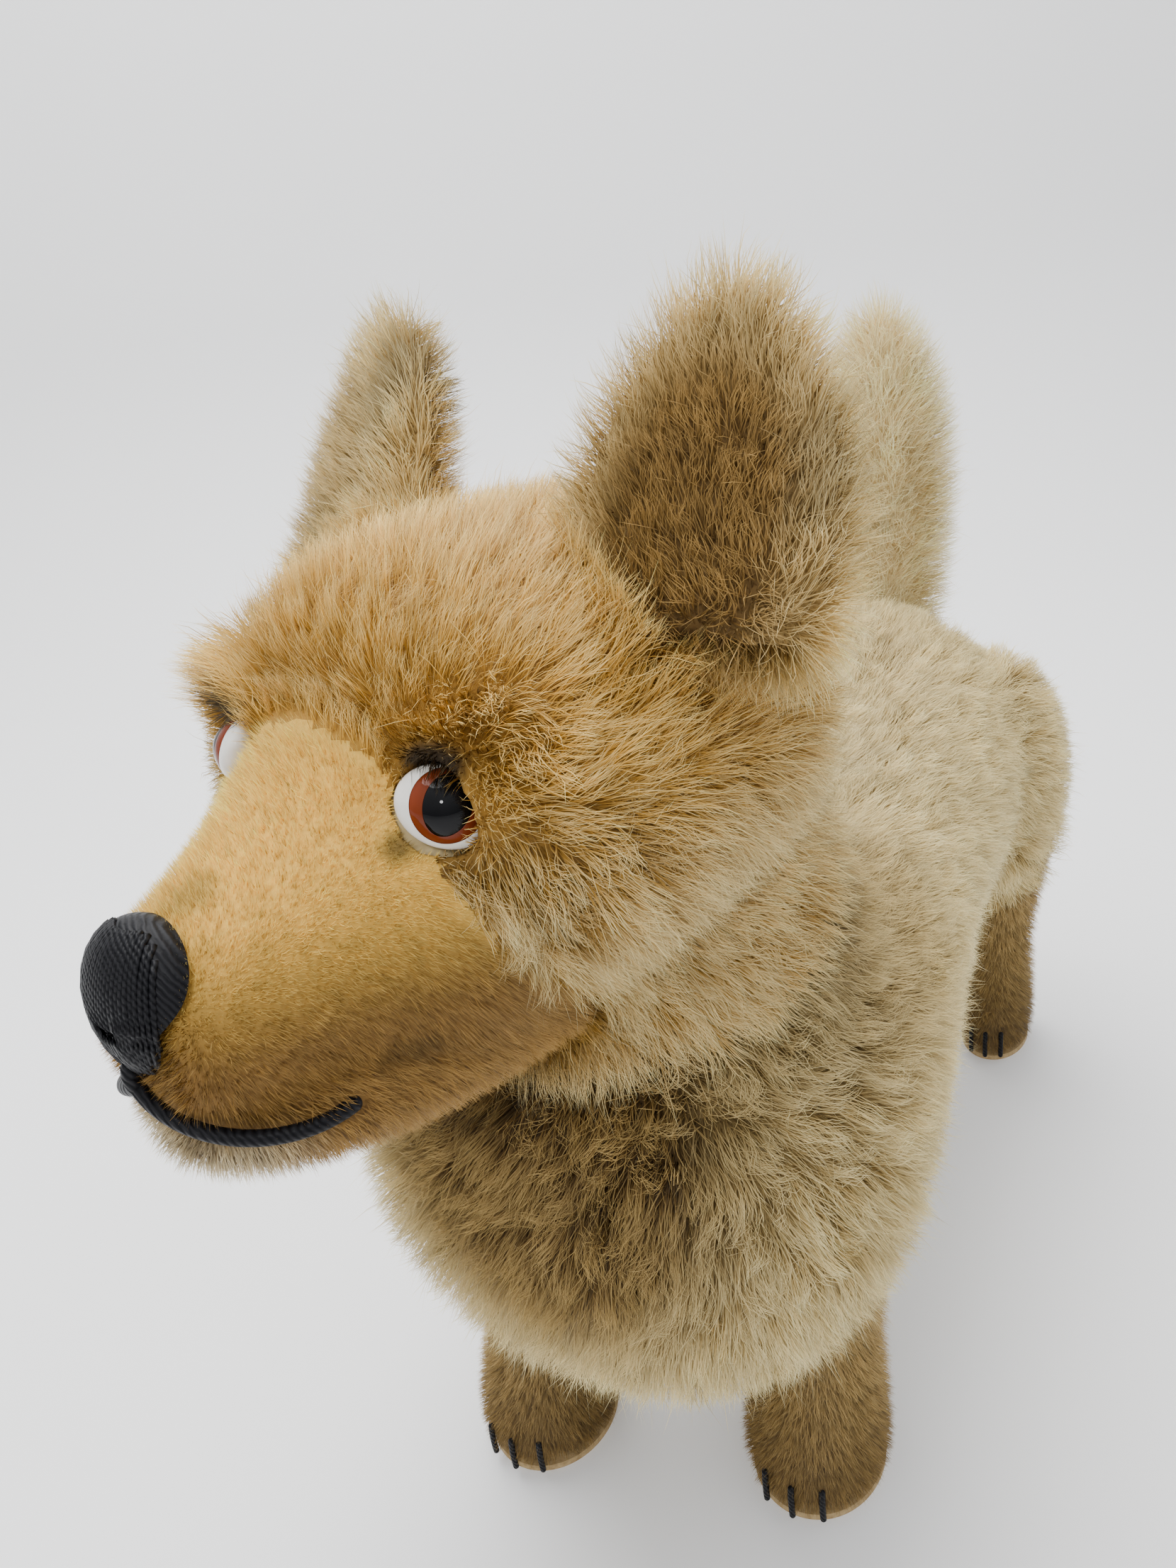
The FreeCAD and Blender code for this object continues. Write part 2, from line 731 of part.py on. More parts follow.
def eye_frame(sign):
    """Frame of one eye: Z looks out of the face, X runs along the lids."""
    outward = V(sign * EYE_OUT.x, EYE_OUT.y, EYE_OUT.z).normalize()
    across = Z_AXIS.cross(outward).normalize()
    upward = outward.cross(across)
    facing = Turn(across, upward, outward, "ZXY")
    point = V(sign * EYE_POINT.x, EYE_POINT.y, EYE_POINT.z)
    slant = Place(ORIGIN, Turn(Z_AXIS, -sign * EYE_SLANT))
    return HEAD.multiply(Place(point, facing)).multiply(slant)


def ear_frame(sign):
    """Frame of one ear: Z runs up the ear and its hollow side faces -Y, turned outwards."""
    point = V(sign * EAR_POINT.x, EAR_POINT.y, EAR_POINT.z)
    turn = Turn(Z_AXIS, sign * EAR_YAW) * Turn(Y_AXIS, sign * EAR_OUT) * Turn(X_AXIS, -EAR_BACK)
    return HEAD.multiply(Place(point, turn))


def eye_layer(name, place, half_x, half_y, half_z, extra="0"):
    """A flat-backed ellipsoid button of glass."""
    ball = ellipsoid(f"{name}_ball", place, f"{half_x} + {extra}", f"{half_y} + {extra}", half_z)
    back = doc.addObject("Part::Box", f"{name}_back")
    reach = 12.0
    back.Length = 2 * reach
    back.Width = 2 * reach
    back.Height = reach
    low = V(-reach, -reach, -reach - size("eye_back"))
    back.Placement = place.multiply(Place(low, Turn()))
    return cut(name, ball, back)


def make_eye(side, sign):
    """White glass almond, brown iris, black pupil and the wire loop behind them."""
    place = eye_frame(sign)
    seat = "Sizes.seat_clearance"
    iris_dome = "Sizes.eye_dome + Sizes.iris_rise"
    pupil_dome = "Sizes.eye_dome + Sizes.pupil_rise"
    iris_size = ("Sizes.iris_half_width", "Sizes.iris_half_height", iris_dome)
    pupil_size = ("Sizes.pupil_radius", "Sizes.pupil_radius", pupil_dome)
    white_size = ("Sizes.eye_half_width", "Sizes.eye_half_height", "Sizes.eye_dome")
    white = eye_layer(f"{side}_eye_white_form", place, *white_size)
    iris_room = eye_layer(f"{side}_iris_room", place, *iris_size, extra=seat)
    iris = eye_layer(f"{side}_iris_form", place, *iris_size)
    pupil_room = eye_layer(f"{side}_pupil_room", place, *pupil_size, extra=seat)
    pupil = eye_layer(f"{side}_eye_pupil_form", place, *pupil_size)
    keep(cut(f"{side}_eye_white", white, iris_room), f"{side}_eye_white")
    keep(cut(f"{side}_eye_iris", iris, pupil_room), f"{side}_eye_iris")
    keep(pupil, f"{side}_eye_pupil")
    loop_radius = size("eye_loop_radius")
    wire = size("eye_wire_radius")
    loop_centre = -size("eye_back") - wire - loop_radius - size("seat_clearance")
    loop = doc.addObject("Part::Torus", f"{side}_eye_wire_form")
    loop.Placement = place.multiply(Place(V(0, 0, loop_centre), Turn(X_AXIS, 90)))
    bind(loop, Radius1="Sizes.eye_loop_radius", Radius2="Sizes.eye_wire_radius")
    keep(loop, f"{side}_eye_wire")
    socket = ellipsoid(
        f"{side}_socket_ball",
        place,
        f"Sizes.eye_half_width + {GAP}",
        f"Sizes.eye_half_height + {GAP}",
        f"{iris_dome} + {GAP}",
    )
    tunnel = doc.addObject("Part::Cylinder", f"{side}_socket_tunnel")
    tunnel.Radius = loop_radius + wire + 0.8
    tunnel.Height = 10.0
    tunnel.Placement = place.multiply(Place(V(0, 0, -tunnel.Height.Value), Turn()))
    return fuse(f"{side}_socket", socket, tunnel)


def make_ear(side, sign, head_clear):
    """Cupped ear: a long-pile back with a lining sewn into its hollow side."""
    place = ear_frame(sign)
    whole = ear_form(f"{side}_ear_whole", place)
    hollow = ear_form(f"{side}_ear_hollow", place, inset=0.16, forward=0.75)
    pad = ear_form(f"{side}_ear_pad", place, inset=0.18, forward=0.76)
    lining = doc.addObject("Part::MultiCommon", f"{side}_ear_lining_common")
    lining.Shapes = [whole, pad]
    keep(cut(f"{side}_ear_back", whole, hollow, head_clear), f"{side}_ear_back")
    keep(cut(f"{side}_ear_lining", lining, head_clear), f"{side}_ear_lining")


def make_mouth(name, radius):
    """Philtrum and the two lip lines, thick threads laid along the edge of the muzzle."""
    philtrum = thread(V(0, -111.4, 15), V(0, -111.6, 13), V(0, -111.0, 11.0), radius)
    lips = []
    for sign in (1, -1):
        start = V(sign * 0.4, -111.0, 11.0)
        middle = V(sign * 12.6, -107.2, 5.8)
        corner = V(sign * 21.6, -88.0, 3.2)
        lips.append(thread(start, middle, corner, radius))
    return solid_feature(name, philtrum.fuse(lips), HEAD)


def make_head(in_head, pin_hole):
    """Covers, stuffing, eyes, ears, nose and mouth of the head."""
    face = size("neck_gap") / 2
    inside_face = face + size("joint_face_cover")
    below = Turn(X_AXIS, 180)
    trims = {}
    for name, height in (("outer", face), ("hollow", inside_face), ("core", inside_face + size("fit_gap"))):
        trims[name] = half_space(f"head_{name}_trim", neck_level(height).multiply(Place(ORIGIN, below)))
    skull = make_forms(skull_form, "skull", LONG)
    neck = make_forms(neck_form, "neck", LONG)
    muzzle = make_forms(muzzle_form, "muzzle", SHORT)
    jaw = make_forms(jaw_form, "jaw", SHORT)
    outer = fuse("head_outer", skull["outer"], neck["outer"])
    hollow = fuse("head_hollow", skull["hollow"], neck["hollow"])
    core = fuse("head_core", skull["core"], neck["core"])
    clear = fuse("head_clear", skull["clear"], neck["clear"])
    hollow = cut("head_hollow_trimmed", hollow, trims["hollow"])
    core = cut("head_core_trimmed", core, trims["core"])
    sockets = [make_eye(side, sign) for side, sign in SIDES]
    mouth_radius = size("mouth_thread_radius")
    mouth = make_mouth("mouth_stitching", mouth_radius)
    groove = make_mouth("mouth_groove", mouth_radius + size("fit_gap"))
    nose_place = HEAD.multiply(Place(V(0, -104.5, 24.0), Turn()))
    nose_ball = ellipsoid(
        "nose_ball", nose_place, "Sizes.nose_half_width", "Sizes.nose_half_length", "Sizes.nose_half_height"
    )
    nose = cut("nose_stitching", nose_ball, muzzle["clear"], groove)
    stuffing = fuse("head_stuffing_forms", core, muzzle["core"], jaw["core"])
    trimmed = cut("head_outer_trimmed", outer, trims["outer"])
    hollows = (hollow, muzzle["hollow"], jaw["hollow"])
    keep(cut("head_cover", trimmed, *hollows, *sockets, pin_hole), "head_cover")
    keep(cut("head_stuffing", stuffing, *sockets, in_head), "head_stuffing")
    keep(cut("muzzle_cover", muzzle["outer"], *sockets, *hollows[1:], clear, groove), "muzzle_cover")
    keep(cut("jaw_cover", jaw["outer"], groove, clear, muzzle["clear"], jaw["hollow"]), "jaw_cover")
    keep(mouth, "mouth_stitching")
    keep(nose, "nose_stitching")
    for side, sign in SIDES:
        make_ear(side, sign, clear)


# ---------------------------------------------------------------- assembly
def make_dog():
    radius = size("armature_radius")
    loose = radius + size("seat_clearance")
    front_tool = armature("front_wire_tool", "front", loose)
    hind_tool = armature("hind_wire_tool", "hind", loose)
    tail_tool = tail_wire("tail_wire_tool", loose)
    keep(armature("front_leg_wire", "front", radius), "front_leg_wire")
    keep(armature("hind_leg_wire", "hind", radius), "hind_leg_wire")
    keep(tail_wire("tail_wire", radius), "tail_wire")
    torso = make_torso((front_tool, hind_tool, tail_tool))
    for side, sign in SIDES:
        haunch = make_haunch(side, sign, torso, (hind_tool,))
        make_leg("front", side, sign, (torso["clear"],), front_tool)
        make_leg("hind", side, sign, (torso["clear"], haunch["clear"]), hind_tool)
    make_tail(torso, tail_tool)


def check_document():
    """Stop on any object that failed to compute."""
    for item in doc.Objects:
        if "Invalid" in item.State or "Error" in item.State:
            raise RuntimeError(f"{item.Name} ({item.Label}) failed: {item.State}")
    for item in subparts:
        shape = item.Shape
        if shape.isNull() or not shape.isValid() or shape.Volume <= 0:
            raise RuntimeError(f"{item.Label} has no valid solid")


def write_subparts():
    os.makedirs("parts", exist_ok=True)
    for item in subparts:
        item.Shape.exportStep(f"parts/{item.Label}.step")
        print(f"{item.Label}: {len(item.Shape.Solids)} solids, {item.Shape.Volume / 1000:.2f} cm3")
    print(len(subparts), "sub-parts")


joint_pocket_in_torso, joint_pocket_in_head, pin_hole_in_torso, pin_hole_in_head = make_neck_joint()
make_dog()
make_head(joint_pocket_in_head, pin_hole_in_head)
doc.recompute()
check_document()
write_subparts()
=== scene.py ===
"""Looks of a standing mohair plush dog with glass eyes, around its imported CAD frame.

The sewn covers are replaced by a woven backing cloth that carries real strands of pile.
Everything else, the glass eyes, threads, felt soles and inner parts, keeps its CAD shape,
with single satin threads laid over the nose's stitching.
"""

import math

import bmesh
import bpy
import numpy as np
from mathutils import Matrix, Vector, noise
from mathutils.bvhtree import BVHTree
from mathutils.kdtree import KDTree


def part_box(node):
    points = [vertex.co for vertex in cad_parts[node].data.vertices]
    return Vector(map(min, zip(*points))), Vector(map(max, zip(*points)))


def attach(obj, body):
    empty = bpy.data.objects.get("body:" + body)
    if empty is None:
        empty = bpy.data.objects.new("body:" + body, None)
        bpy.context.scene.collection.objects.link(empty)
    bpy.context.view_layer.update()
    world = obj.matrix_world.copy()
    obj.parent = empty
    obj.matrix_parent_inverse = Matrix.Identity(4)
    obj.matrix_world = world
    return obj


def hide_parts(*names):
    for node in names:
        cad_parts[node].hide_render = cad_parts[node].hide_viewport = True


MM = 0.001
SIDES = (("left", 1.0), ("right", -1.0))
ENDS = ("front", "hind")

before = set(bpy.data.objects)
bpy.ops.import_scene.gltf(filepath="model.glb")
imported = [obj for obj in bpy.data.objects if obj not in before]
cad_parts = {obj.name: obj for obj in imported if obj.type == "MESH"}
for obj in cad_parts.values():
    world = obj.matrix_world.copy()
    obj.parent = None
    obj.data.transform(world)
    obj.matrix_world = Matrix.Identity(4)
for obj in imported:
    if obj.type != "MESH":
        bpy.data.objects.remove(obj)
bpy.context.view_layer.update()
scene = bpy.context.scene
noise.seed_set(5)


# ---------------------------------------------------------------- small helpers


def srgb(red, green, blue):
    """Linear colour from 0 to 255 display values."""
    values = np.array([red, green, blue], float) / 255.0
    return np.where(values <= 0.04045, values / 12.92, ((values + 0.055) / 1.055) ** 2.4)


def unit(vectors):
    """Vectors scaled to length one."""
    size = np.linalg.norm(vectors, axis=-1, keepdims=True)
    return vectors / np.maximum(size, 1e-12)


def ramp(values, low, high):
    """Smooth step from 0 at low to 1 at high."""
    share = np.clip((values - low) / (high - low), 0.0, 1.0)
    return share * share * (3.0 - 2.0 * share)


def blob(points, centre, radii):
    """1 at the centre of a soft ellipsoid spot and 0 outside it."""
    away = np.linalg.norm((points - np.array(centre)) / np.array(radii), axis=-1)
    return 1.0 - ramp(away, 0.35, 1.0)


def mix(first, second, share):
    """First where share is 0, second where it is 1."""
    share = np.asarray(share, float)
    if share.ndim == 1:
        share = share[:, None]
    return first * (1.0 - share) + second * share


def mirrored_blob(points, centre, radii):
    """Soft spots at the centre and at its mirror image across the middle plane."""
    return sum(blob(points, np.array(centre) * [sign, 1, 1], radii) for _, sign in SIDES)


def directions(x, y, z):
    """One direction per strand; a plain number stands for all the strands."""
    return np.stack(np.broadcast_arrays(x, y, z), axis=1).astype(float)


def link(obj):
    """Puts an object into the scene."""
    scene.collection.objects.link(obj)
    return obj


# ---------------------------------------------------------------- the head's own axes

HEAD_POINT = np.array([1.0, -66.0, 173.5])
HEAD_TURN = Matrix.Rotation(math.radians(-15), 3, "Z")
HEAD_NOD = Matrix.Rotation(math.radians(-3.5), 3, "X")
HEAD_ROLL = Matrix.Rotation(math.radians(-1.5), 3, "Y")
HEAD_AXES = np.array(HEAD_TURN @ HEAD_NOD @ HEAD_ROLL)

EYE_POINT = np.array([27.5, -65.7, 46.2])
EAR_POINT = np.array([43.0, -25.0, 62.0])


def to_head(points):
    """World metres to millimetres along the head's own axes."""
    return (points / MM - HEAD_POINT) @ HEAD_AXES


def from_head_direction(vectors):
    """Directions along the head's axes turned into world directions."""
    return vectors @ HEAD_AXES.T


def to_head_direction(vectors):
    """World directions turned into directions along the head's axes."""
    return vectors @ HEAD_AXES


# ---------------------------------------------------------------- backing cloth

LONG_INSET = 3.8 * MM
SHORT_INSET = 1.3 * MM
EYE_INSET = 0.9 * MM
BACKING_VOXEL = 2.0 * MM
BACKING_TONE = 0.35
WELD = 1e-6


def joined_covers(nodes):
    """The covers' meshes in one mesh with their split corners welded."""
    form = bmesh.new()
    for node in nodes:
        form.from_mesh(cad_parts[node].data)
    bmesh.ops.remove_doubles(form, verts=form.verts, dist=WELD)
    mesh = bpy.data.meshes.new("covers")
    form.to_mesh(mesh)
    form.free()
    return mesh


def remeshed(mesh, voxel):
    """The mesh as even quads."""
    holder = link(bpy.data.objects.new("remesh", mesh))
    modifier = holder.modifiers.new("even", "REMESH")
    modifier.mode = "VOXEL"
    modifier.voxel_size = voxel
    graph = bpy.context.evaluated_depsgraph_get()
    made = bpy.data.meshes.new_from_object(holder.evaluated_get(graph))
    bpy.data.objects.remove(holder)
    return made


def keep_outer_island(form):
    """Deletes every closed surface inside the largest one."""
    left = set(form.verts)
    islands = []
    while left:
        seed = left.pop()
        island = [seed]
        stack = [seed]
        while stack:
            for edge in stack.pop().link_edges:
                for vert in edge.verts:
                    if vert in left:
                        left.discard(vert)
                        island.append(vert)
                        stack.append(vert)
        islands.append(island)
    islands.sort(key=len, reverse=True)
    inner = [vert for island in islands[1:] for vert in island]
    bmesh.ops.delete(form, geom=inner, context="VERTS")


def smooth(form, passes):
    """Evens out the form's surface."""
    for _ in range(passes):
        bmesh.ops.smooth_vert(
            form, verts=form.verts, factor=0.5, use_axis_x=True, use_axis_y=True, use_axis_z=True
        )
    form.normal_update()


def backing_form(nodes, inset_of):
    """Outer surface of the covers, smoothed and drawn in to where the pile is rooted."""
    form = bmesh.new()
    form.from_mesh(remeshed(joined_covers(nodes), BACKING_VOXEL))
    keep_outer_island(form)
    smooth(form, 3)
    points = np.array([vert.co for vert in form.verts])
    insets = inset_of(points)
    for vert, inset in zip(form.verts, insets):
        vert.co = vert.co - vert.normal * float(inset)
    smooth(form, 2)
    return form


def tree_of(node):
    """The CAD node's surface, to measure distances to it."""
    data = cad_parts[node].data
    points = [vert.co for vert in data.vertices]
    return BVHTree.FromPolygons(points, [poly.vertices for poly in data.polygons])


def nearest_cover(points, trees):
    """Index of the cover nearest to each point."""
    found = np.zeros(len(points), int)
    for index, point in enumerate(points):
        spot = Vector(point)
        away = [tree.find_nearest(spot)[3] for tree in trees]
        found[index] = int(np.argmin(away))
    return found


def split_backing(form, covers, trees, body, material):
    """One backing piece per cover, cut out of the shared smooth form."""
    centres = np.array([face.calc_center_median() for face in form.faces])
    owner = nearest_cover(centres, trees)
    form.verts.ensure_lookup_table()
    pieces = {}
    for index, (cover, piece_name) in enumerate(covers):
        part = form.copy()
        part.faces.ensure_lookup_table()
        outside = [part.faces[k] for k in np.nonzero(owner != index)[0]]
        bmesh.ops.delete(part, geom=outside, context="FACES")
        mesh = bpy.data.meshes.new(piece_name)
        part.to_mesh(mesh)
        part.free()
        for poly in mesh.polygons:
            poly.use_smooth = True
        piece = link(bpy.data.objects.new(piece_name, mesh))
        piece.data.materials.append(material)
        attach(piece, body)
        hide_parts(cover)
        pieces[cover] = piece
    return pieces


# ---------------------------------------------------------------- pile

GUARD_LENGTH = 1.12
STRANDS_PER_PIECE = 38000
WANDER_SIZE = 14 * MM
TIP_WIDTH = 0.45
MIDDLE_TONE_AT = 0.45


class Roots:
    """Places where strands grow: points, normals and which cover they stand on."""

    def __init__(self, points, normals, covers):
        self.points = points
        self.normals = normals
        self.covers = covers

    def pick(self, chosen):
        return Roots(self.points[chosen], self.normals[chosen], self.covers[chosen])


def surface_arrays(pieces):
    """Triangles, smooth normals and cover names of several backing pieces together."""
    corners, normals, names = [], [], []
    for cover, piece in pieces.items():
        mesh = piece.data
        mesh.calc_loop_triangles()
        points = np.empty(len(mesh.vertices) * 3, np.float32)
        mesh.vertices.foreach_get("co", points)
        points = points.reshape(-1, 3).astype(float)
        facing = np.empty(len(mesh.vertices) * 3, np.float32)
        mesh.vertex_normals.foreach_get("vector", facing)
        facing = facing.reshape(-1, 3).astype(float)
        tris = np.empty(len(mesh.loop_triangles) * 3, np.int32)
        mesh.loop_triangles.foreach_get("vertices", tris)
        tris = tris.reshape(-1, 3)
        corners.append(points[tris])
        normals.append(facing[tris])
        names.append(np.full(len(tris), cover, dtype=object))
    return np.concatenate(corners), np.concatenate(normals), np.concatenate(names)


def scatter(arrays, per_mm2, rng):
    """Roots over the surface, as many per square millimetre as per_mm2 gives at each triangle."""
    corners, normals, names = arrays
    edge_a = corners[:, 1] - corners[:, 0]
    edge_b = corners[:, 2] - corners[:, 0]
    areas = np.linalg.norm(np.cross(edge_a, edge_b), axis=1) / 2 / MM / MM
    weights = areas * per_mm2(corners.mean(axis=1), unit(normals.mean(axis=1)), names)
    count = int(weights.sum())
    chosen = rng.choice(len(weights), size=count, p=weights / weights.sum())
    first = rng.random(count)
    second = rng.random(count)
    over = first + second > 1.0
    first[over] = 1.0 - first[over]
    second[over] = 1.0 - second[over]
    shares = np.stack([1.0 - first - second, first, second], axis=1)[:, :, None]
    points = (corners[chosen] * shares).sum(axis=1)
    facing = unit((normals[chosen] * shares).sum(axis=1))
    return Roots(points, facing, names[chosen])


def wander(points, size, seed):
    """Slow vector noise over the points, size in metres."""
    offset = Vector((seed * 13.7, seed * 7.1, seed * 3.3))
    return np.array([noise.noise_vector(Vector(point) / size + offset) for point in points])


def nearest_seeds(points, seeds):
    """Index of the tuft centre nearest to each point."""
    tree = KDTree(len(seeds))
    for index, seed in enumerate(seeds):
        tree.insert(seed, index)
    tree.balance()
    return np.array([tree.find(point)[1] for point in points])


def tangent(vectors, normals):
    """Vectors pressed flat onto the surface."""
    return unit(vectors - normals * (vectors * normals).sum(axis=1, keepdims=True))


def strand_lines(roots, seeds, nearest, style, rng, segments):
    """Points along each strand, from the root to the tip."""
    count = len(roots.points)
    own = style["groom"] + rng.normal(size=(count, 3)) * style["stray"][:, None]
    flow = tangent(own, roots.normals)
    lift = style["lift"][:, None]
    end = unit(roots.normals * lift + flow * (1.0 - lift))
    start = unit(roots.normals + flow * 0.35)
    guard = rng.random(count) < style["guard"]
    length = style["length"] * (1.0 + rng.normal(size=count) * 0.14) * np.where(guard, GUARD_LENGTH, 1.0)
    length = length[:, None]
    tips_to = seeds["tips"][nearest]
    gather = (style["gather"] * ~guard)[:, None] * (0.5 + 0.5 * rng.random((count, 1)))
    bend = rng.normal(size=(count, 3)) * 0.09 * length
    lines = np.empty((count, segments + 1, 3))
    for step in range(segments + 1):
        t = step / segments
        point = roots.points + length * (start * (t - t * t / 2) + end * (t * t / 2)) * 1.08
        point = point + bend * t * (1.0 - t) * 2.0
        lines[:, step] = mix(point, tips_to, (gather * t**1.6)[:, 0])
    return lines


def ribbon_mesh(name, lines, normals, widths, tones):
    """Flat tapering ribbons, one per strand, with a tone at each point."""
    count, points_each, _ = lines.shape
    segments = points_each - 1
    along = unit(lines[:, -1] - lines[:, 0])
    side = unit(np.cross(along, normals))
    profile = np.linspace(1.0, TIP_WIDTH, segments)
    verts = np.empty((count, 2 * segments + 1, 3))
    colours = np.ones((count, 2 * segments + 1, 4))
    facing = np.empty((count, 2 * segments + 1, 3))
    for step in range(segments):
        half = side * (widths * profile[step] / 2)[:, None]
        verts[:, 2 * step] = lines[:, step] - half
        verts[:, 2 * step + 1] = lines[:, step] + half
        colours[:, 2 * step, :3] = tones[:, step]
        colours[:, 2 * step + 1, :3] = tones[:, step]
    verts[:, -1] = lines[:, -1]
    colours[:, -1, :3] = tones[:, -1]
    outward = unit(np.cross(side, along))
    facing[:] = unit(outward * 0.55 + normals * 0.45)[:, None]

    loops, starts, cell = [], [], []
    place = 0
    for step in range(segments - 1):
        low = 2 * step
        loops += [low, low + 1, low + 3, low + 2]
        starts.append(place)
        place += 4
        cell += [(0, step), (1, step), (1, step + 1), (0, step + 1)]
    loops += [2 * segments - 2, 2 * segments - 1, 2 * segments]
    starts.append(place)
    cell += [(0, segments - 1), (1, segments - 1), (0.5, segments)]
    place += 3
    each = np.arange(count)
    all_loops = (np.array(loops)[None, :] + each[:, None] * (2 * segments + 1)).ravel()
    all_starts = (np.array(starts)[None, :] + each[:, None] * place).ravel()

    mesh = bpy.data.meshes.new(name)
    mesh.vertices.add(count * (2 * segments + 1))
    mesh.vertices.foreach_set("co", verts.astype(np.float32).ravel())
    mesh.loops.add(len(all_loops))
    mesh.loops.foreach_set("vertex_index", all_loops.astype(np.int32))
    mesh.polygons.add(len(all_starts))
    mesh.polygons.foreach_set("loop_start", all_starts.astype(np.int32))
    mesh.update(calc_edges=True)
    mesh.polygons.foreach_set("use_smooth", np.ones(len(all_starts), bool))

    layer = mesh.color_attributes.new("tone", "FLOAT_COLOR", "POINT")
    layer.data.foreach_set("color", colours.astype(np.float32).ravel())
    grid = math.ceil(math.sqrt(count))
    corner = np.array(cell, float) * [0.6, 0.8 / segments] + [0.2, 0.1]
    origin = np.stack([each % grid, each // grid], axis=1)[:, None, :]
    uv = (origin + corner[None]) / grid
    mesh.uv_layers.new(name="OFBake").data.foreach_set("uv", uv.astype(np.float32).ravel())
    mesh.normals_split_custom_set_from_vertices(facing.astype(np.float32).reshape(-1, 3))
    return mesh


def grow(name, pieces, per_mm2, style_of, body, material, seed, segments=3, tufts=0.07):
    """Covers the backing pieces with strands and cuts them into several pieces of one pile."""
    rng = np.random.default_rng(seed)
    arrays = surface_arrays(pieces)
    roots = scatter(arrays, per_mm2, rng)
    centres = scatter(arrays, lambda p, n, c: per_mm2(p, n, c) * tufts, rng)
    look = style_of(centres)
    drift = wander(centres.points, WANDER_SIZE, seed) * look["swirl"][:, None]
    drift += rng.normal(size=drift.shape) * look["toss"][:, None]
    flow = tangent(look["groom"] + drift, centres.normals)
    lift = look["lift"][:, None]
    aim = unit(centres.normals * (lift + 0.12) + flow * (1.0 - lift))
    reach = look["length"] * (1.0 + rng.normal(size=len(aim)) * 0.10)
    seeds = {"tips": centres.points + aim * reach[:, None], "shade": rng.normal(size=len(aim))}
    nearest = nearest_seeds(roots.points, centres.points)
    style = style_of(roots)
    lines = strand_lines(roots, seeds, nearest, style, rng, segments)
    bright = 1.0 + 0.12 * rng.normal(size=len(lines)) + 0.12 * seeds["shade"][nearest]
    bright = np.clip(bright, 0.6, 1.45)[:, None]
    steps = np.linspace(0.0, 1.0, segments + 1)
    # Strands run from the root tone through the middle tone to the tip tone; the dark roots are partly
    # the pile's own tone and partly painted shade down among the strands.
    tones = np.empty((len(lines), segments + 1, 3))
    for step, t in enumerate(steps):
        low = mix(style["root"], style["middle"], min(1.0, t / MIDDLE_TONE_AT))
        upper_share = max(0.0, (t - MIDDLE_TONE_AT) / (1.0 - MIDDLE_TONE_AT))
        tones[:, step] = mix(low, style["tip"], upper_share)
    tones = np.clip(tones * bright[:, None], 0.0, 1.0)
    widths = style["width"] * (0.7 + 0.6 * rng.random(len(lines)))
    order = rng.permutation(len(lines))
    shares = math.ceil(len(lines) / STRANDS_PER_PIECE)
    for number, chosen in enumerate(np.array_split(order, shares)):
        part = f"{name}_{number + 1}"
        mesh = ribbon_mesh(
            part, lines[chosen], roots.normals[chosen], widths[chosen], tones[chosen]
        )
        mesh.materials.append(material)
        piece = link(bpy.data.objects.new(part, mesh))
        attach(piece, body)
    print(name, len(lines), "strands", shares, "pieces")


# ---------------------------------------------------------------- how the pile lies and its colour

GOLD = srgb(202, 154, 54)
DEEP_GOLD = srgb(160, 114, 42)
CREAM = srgb(252, 238, 186)
STRAW = srgb(236, 196, 88)
TAN = srgb(148, 116, 60)
BROWN = srgb(92, 72, 40)
# dark root tone, partly the pile's colour and partly painted shade among the strands
DARK_ROOT = srgb(86, 62, 28)
SOOT = srgb(34, 30, 26)
GREY_BROWN = srgb(92, 78, 58)
SIDE_ROOT = srgb(122, 88, 38)
SIDE_MIDDLE = srgb(142, 106, 48)
SIDE_TIP = srgb(184, 146, 80)


def blank_style(roots, length, lift, gather, width, stray=0.25, swirl=0.35, toss=0.18, guard=0.0):
    """One value of each property for all the strands; guard is the share of longer loose hairs."""
    count = len(roots.points)
    return {
        "guard": np.full(count, guard),
        "length": np.full(count, length * MM),
        "lift": np.full(count, lift),
        "gather": np.full(count, gather),
        "width": np.full(count, width * MM),
        "stray": np.full(count, stray),
        "swirl": np.full(count, swirl),
        "toss": np.full(count, toss),
        "groom": np.zeros((count, 3)),
    }


def tint(style, colour, share):
    """Sprays a colour over whole strands."""
    for key in ("root", "middle", "tip"):
        style[key] = mix(style[key], colour, share)


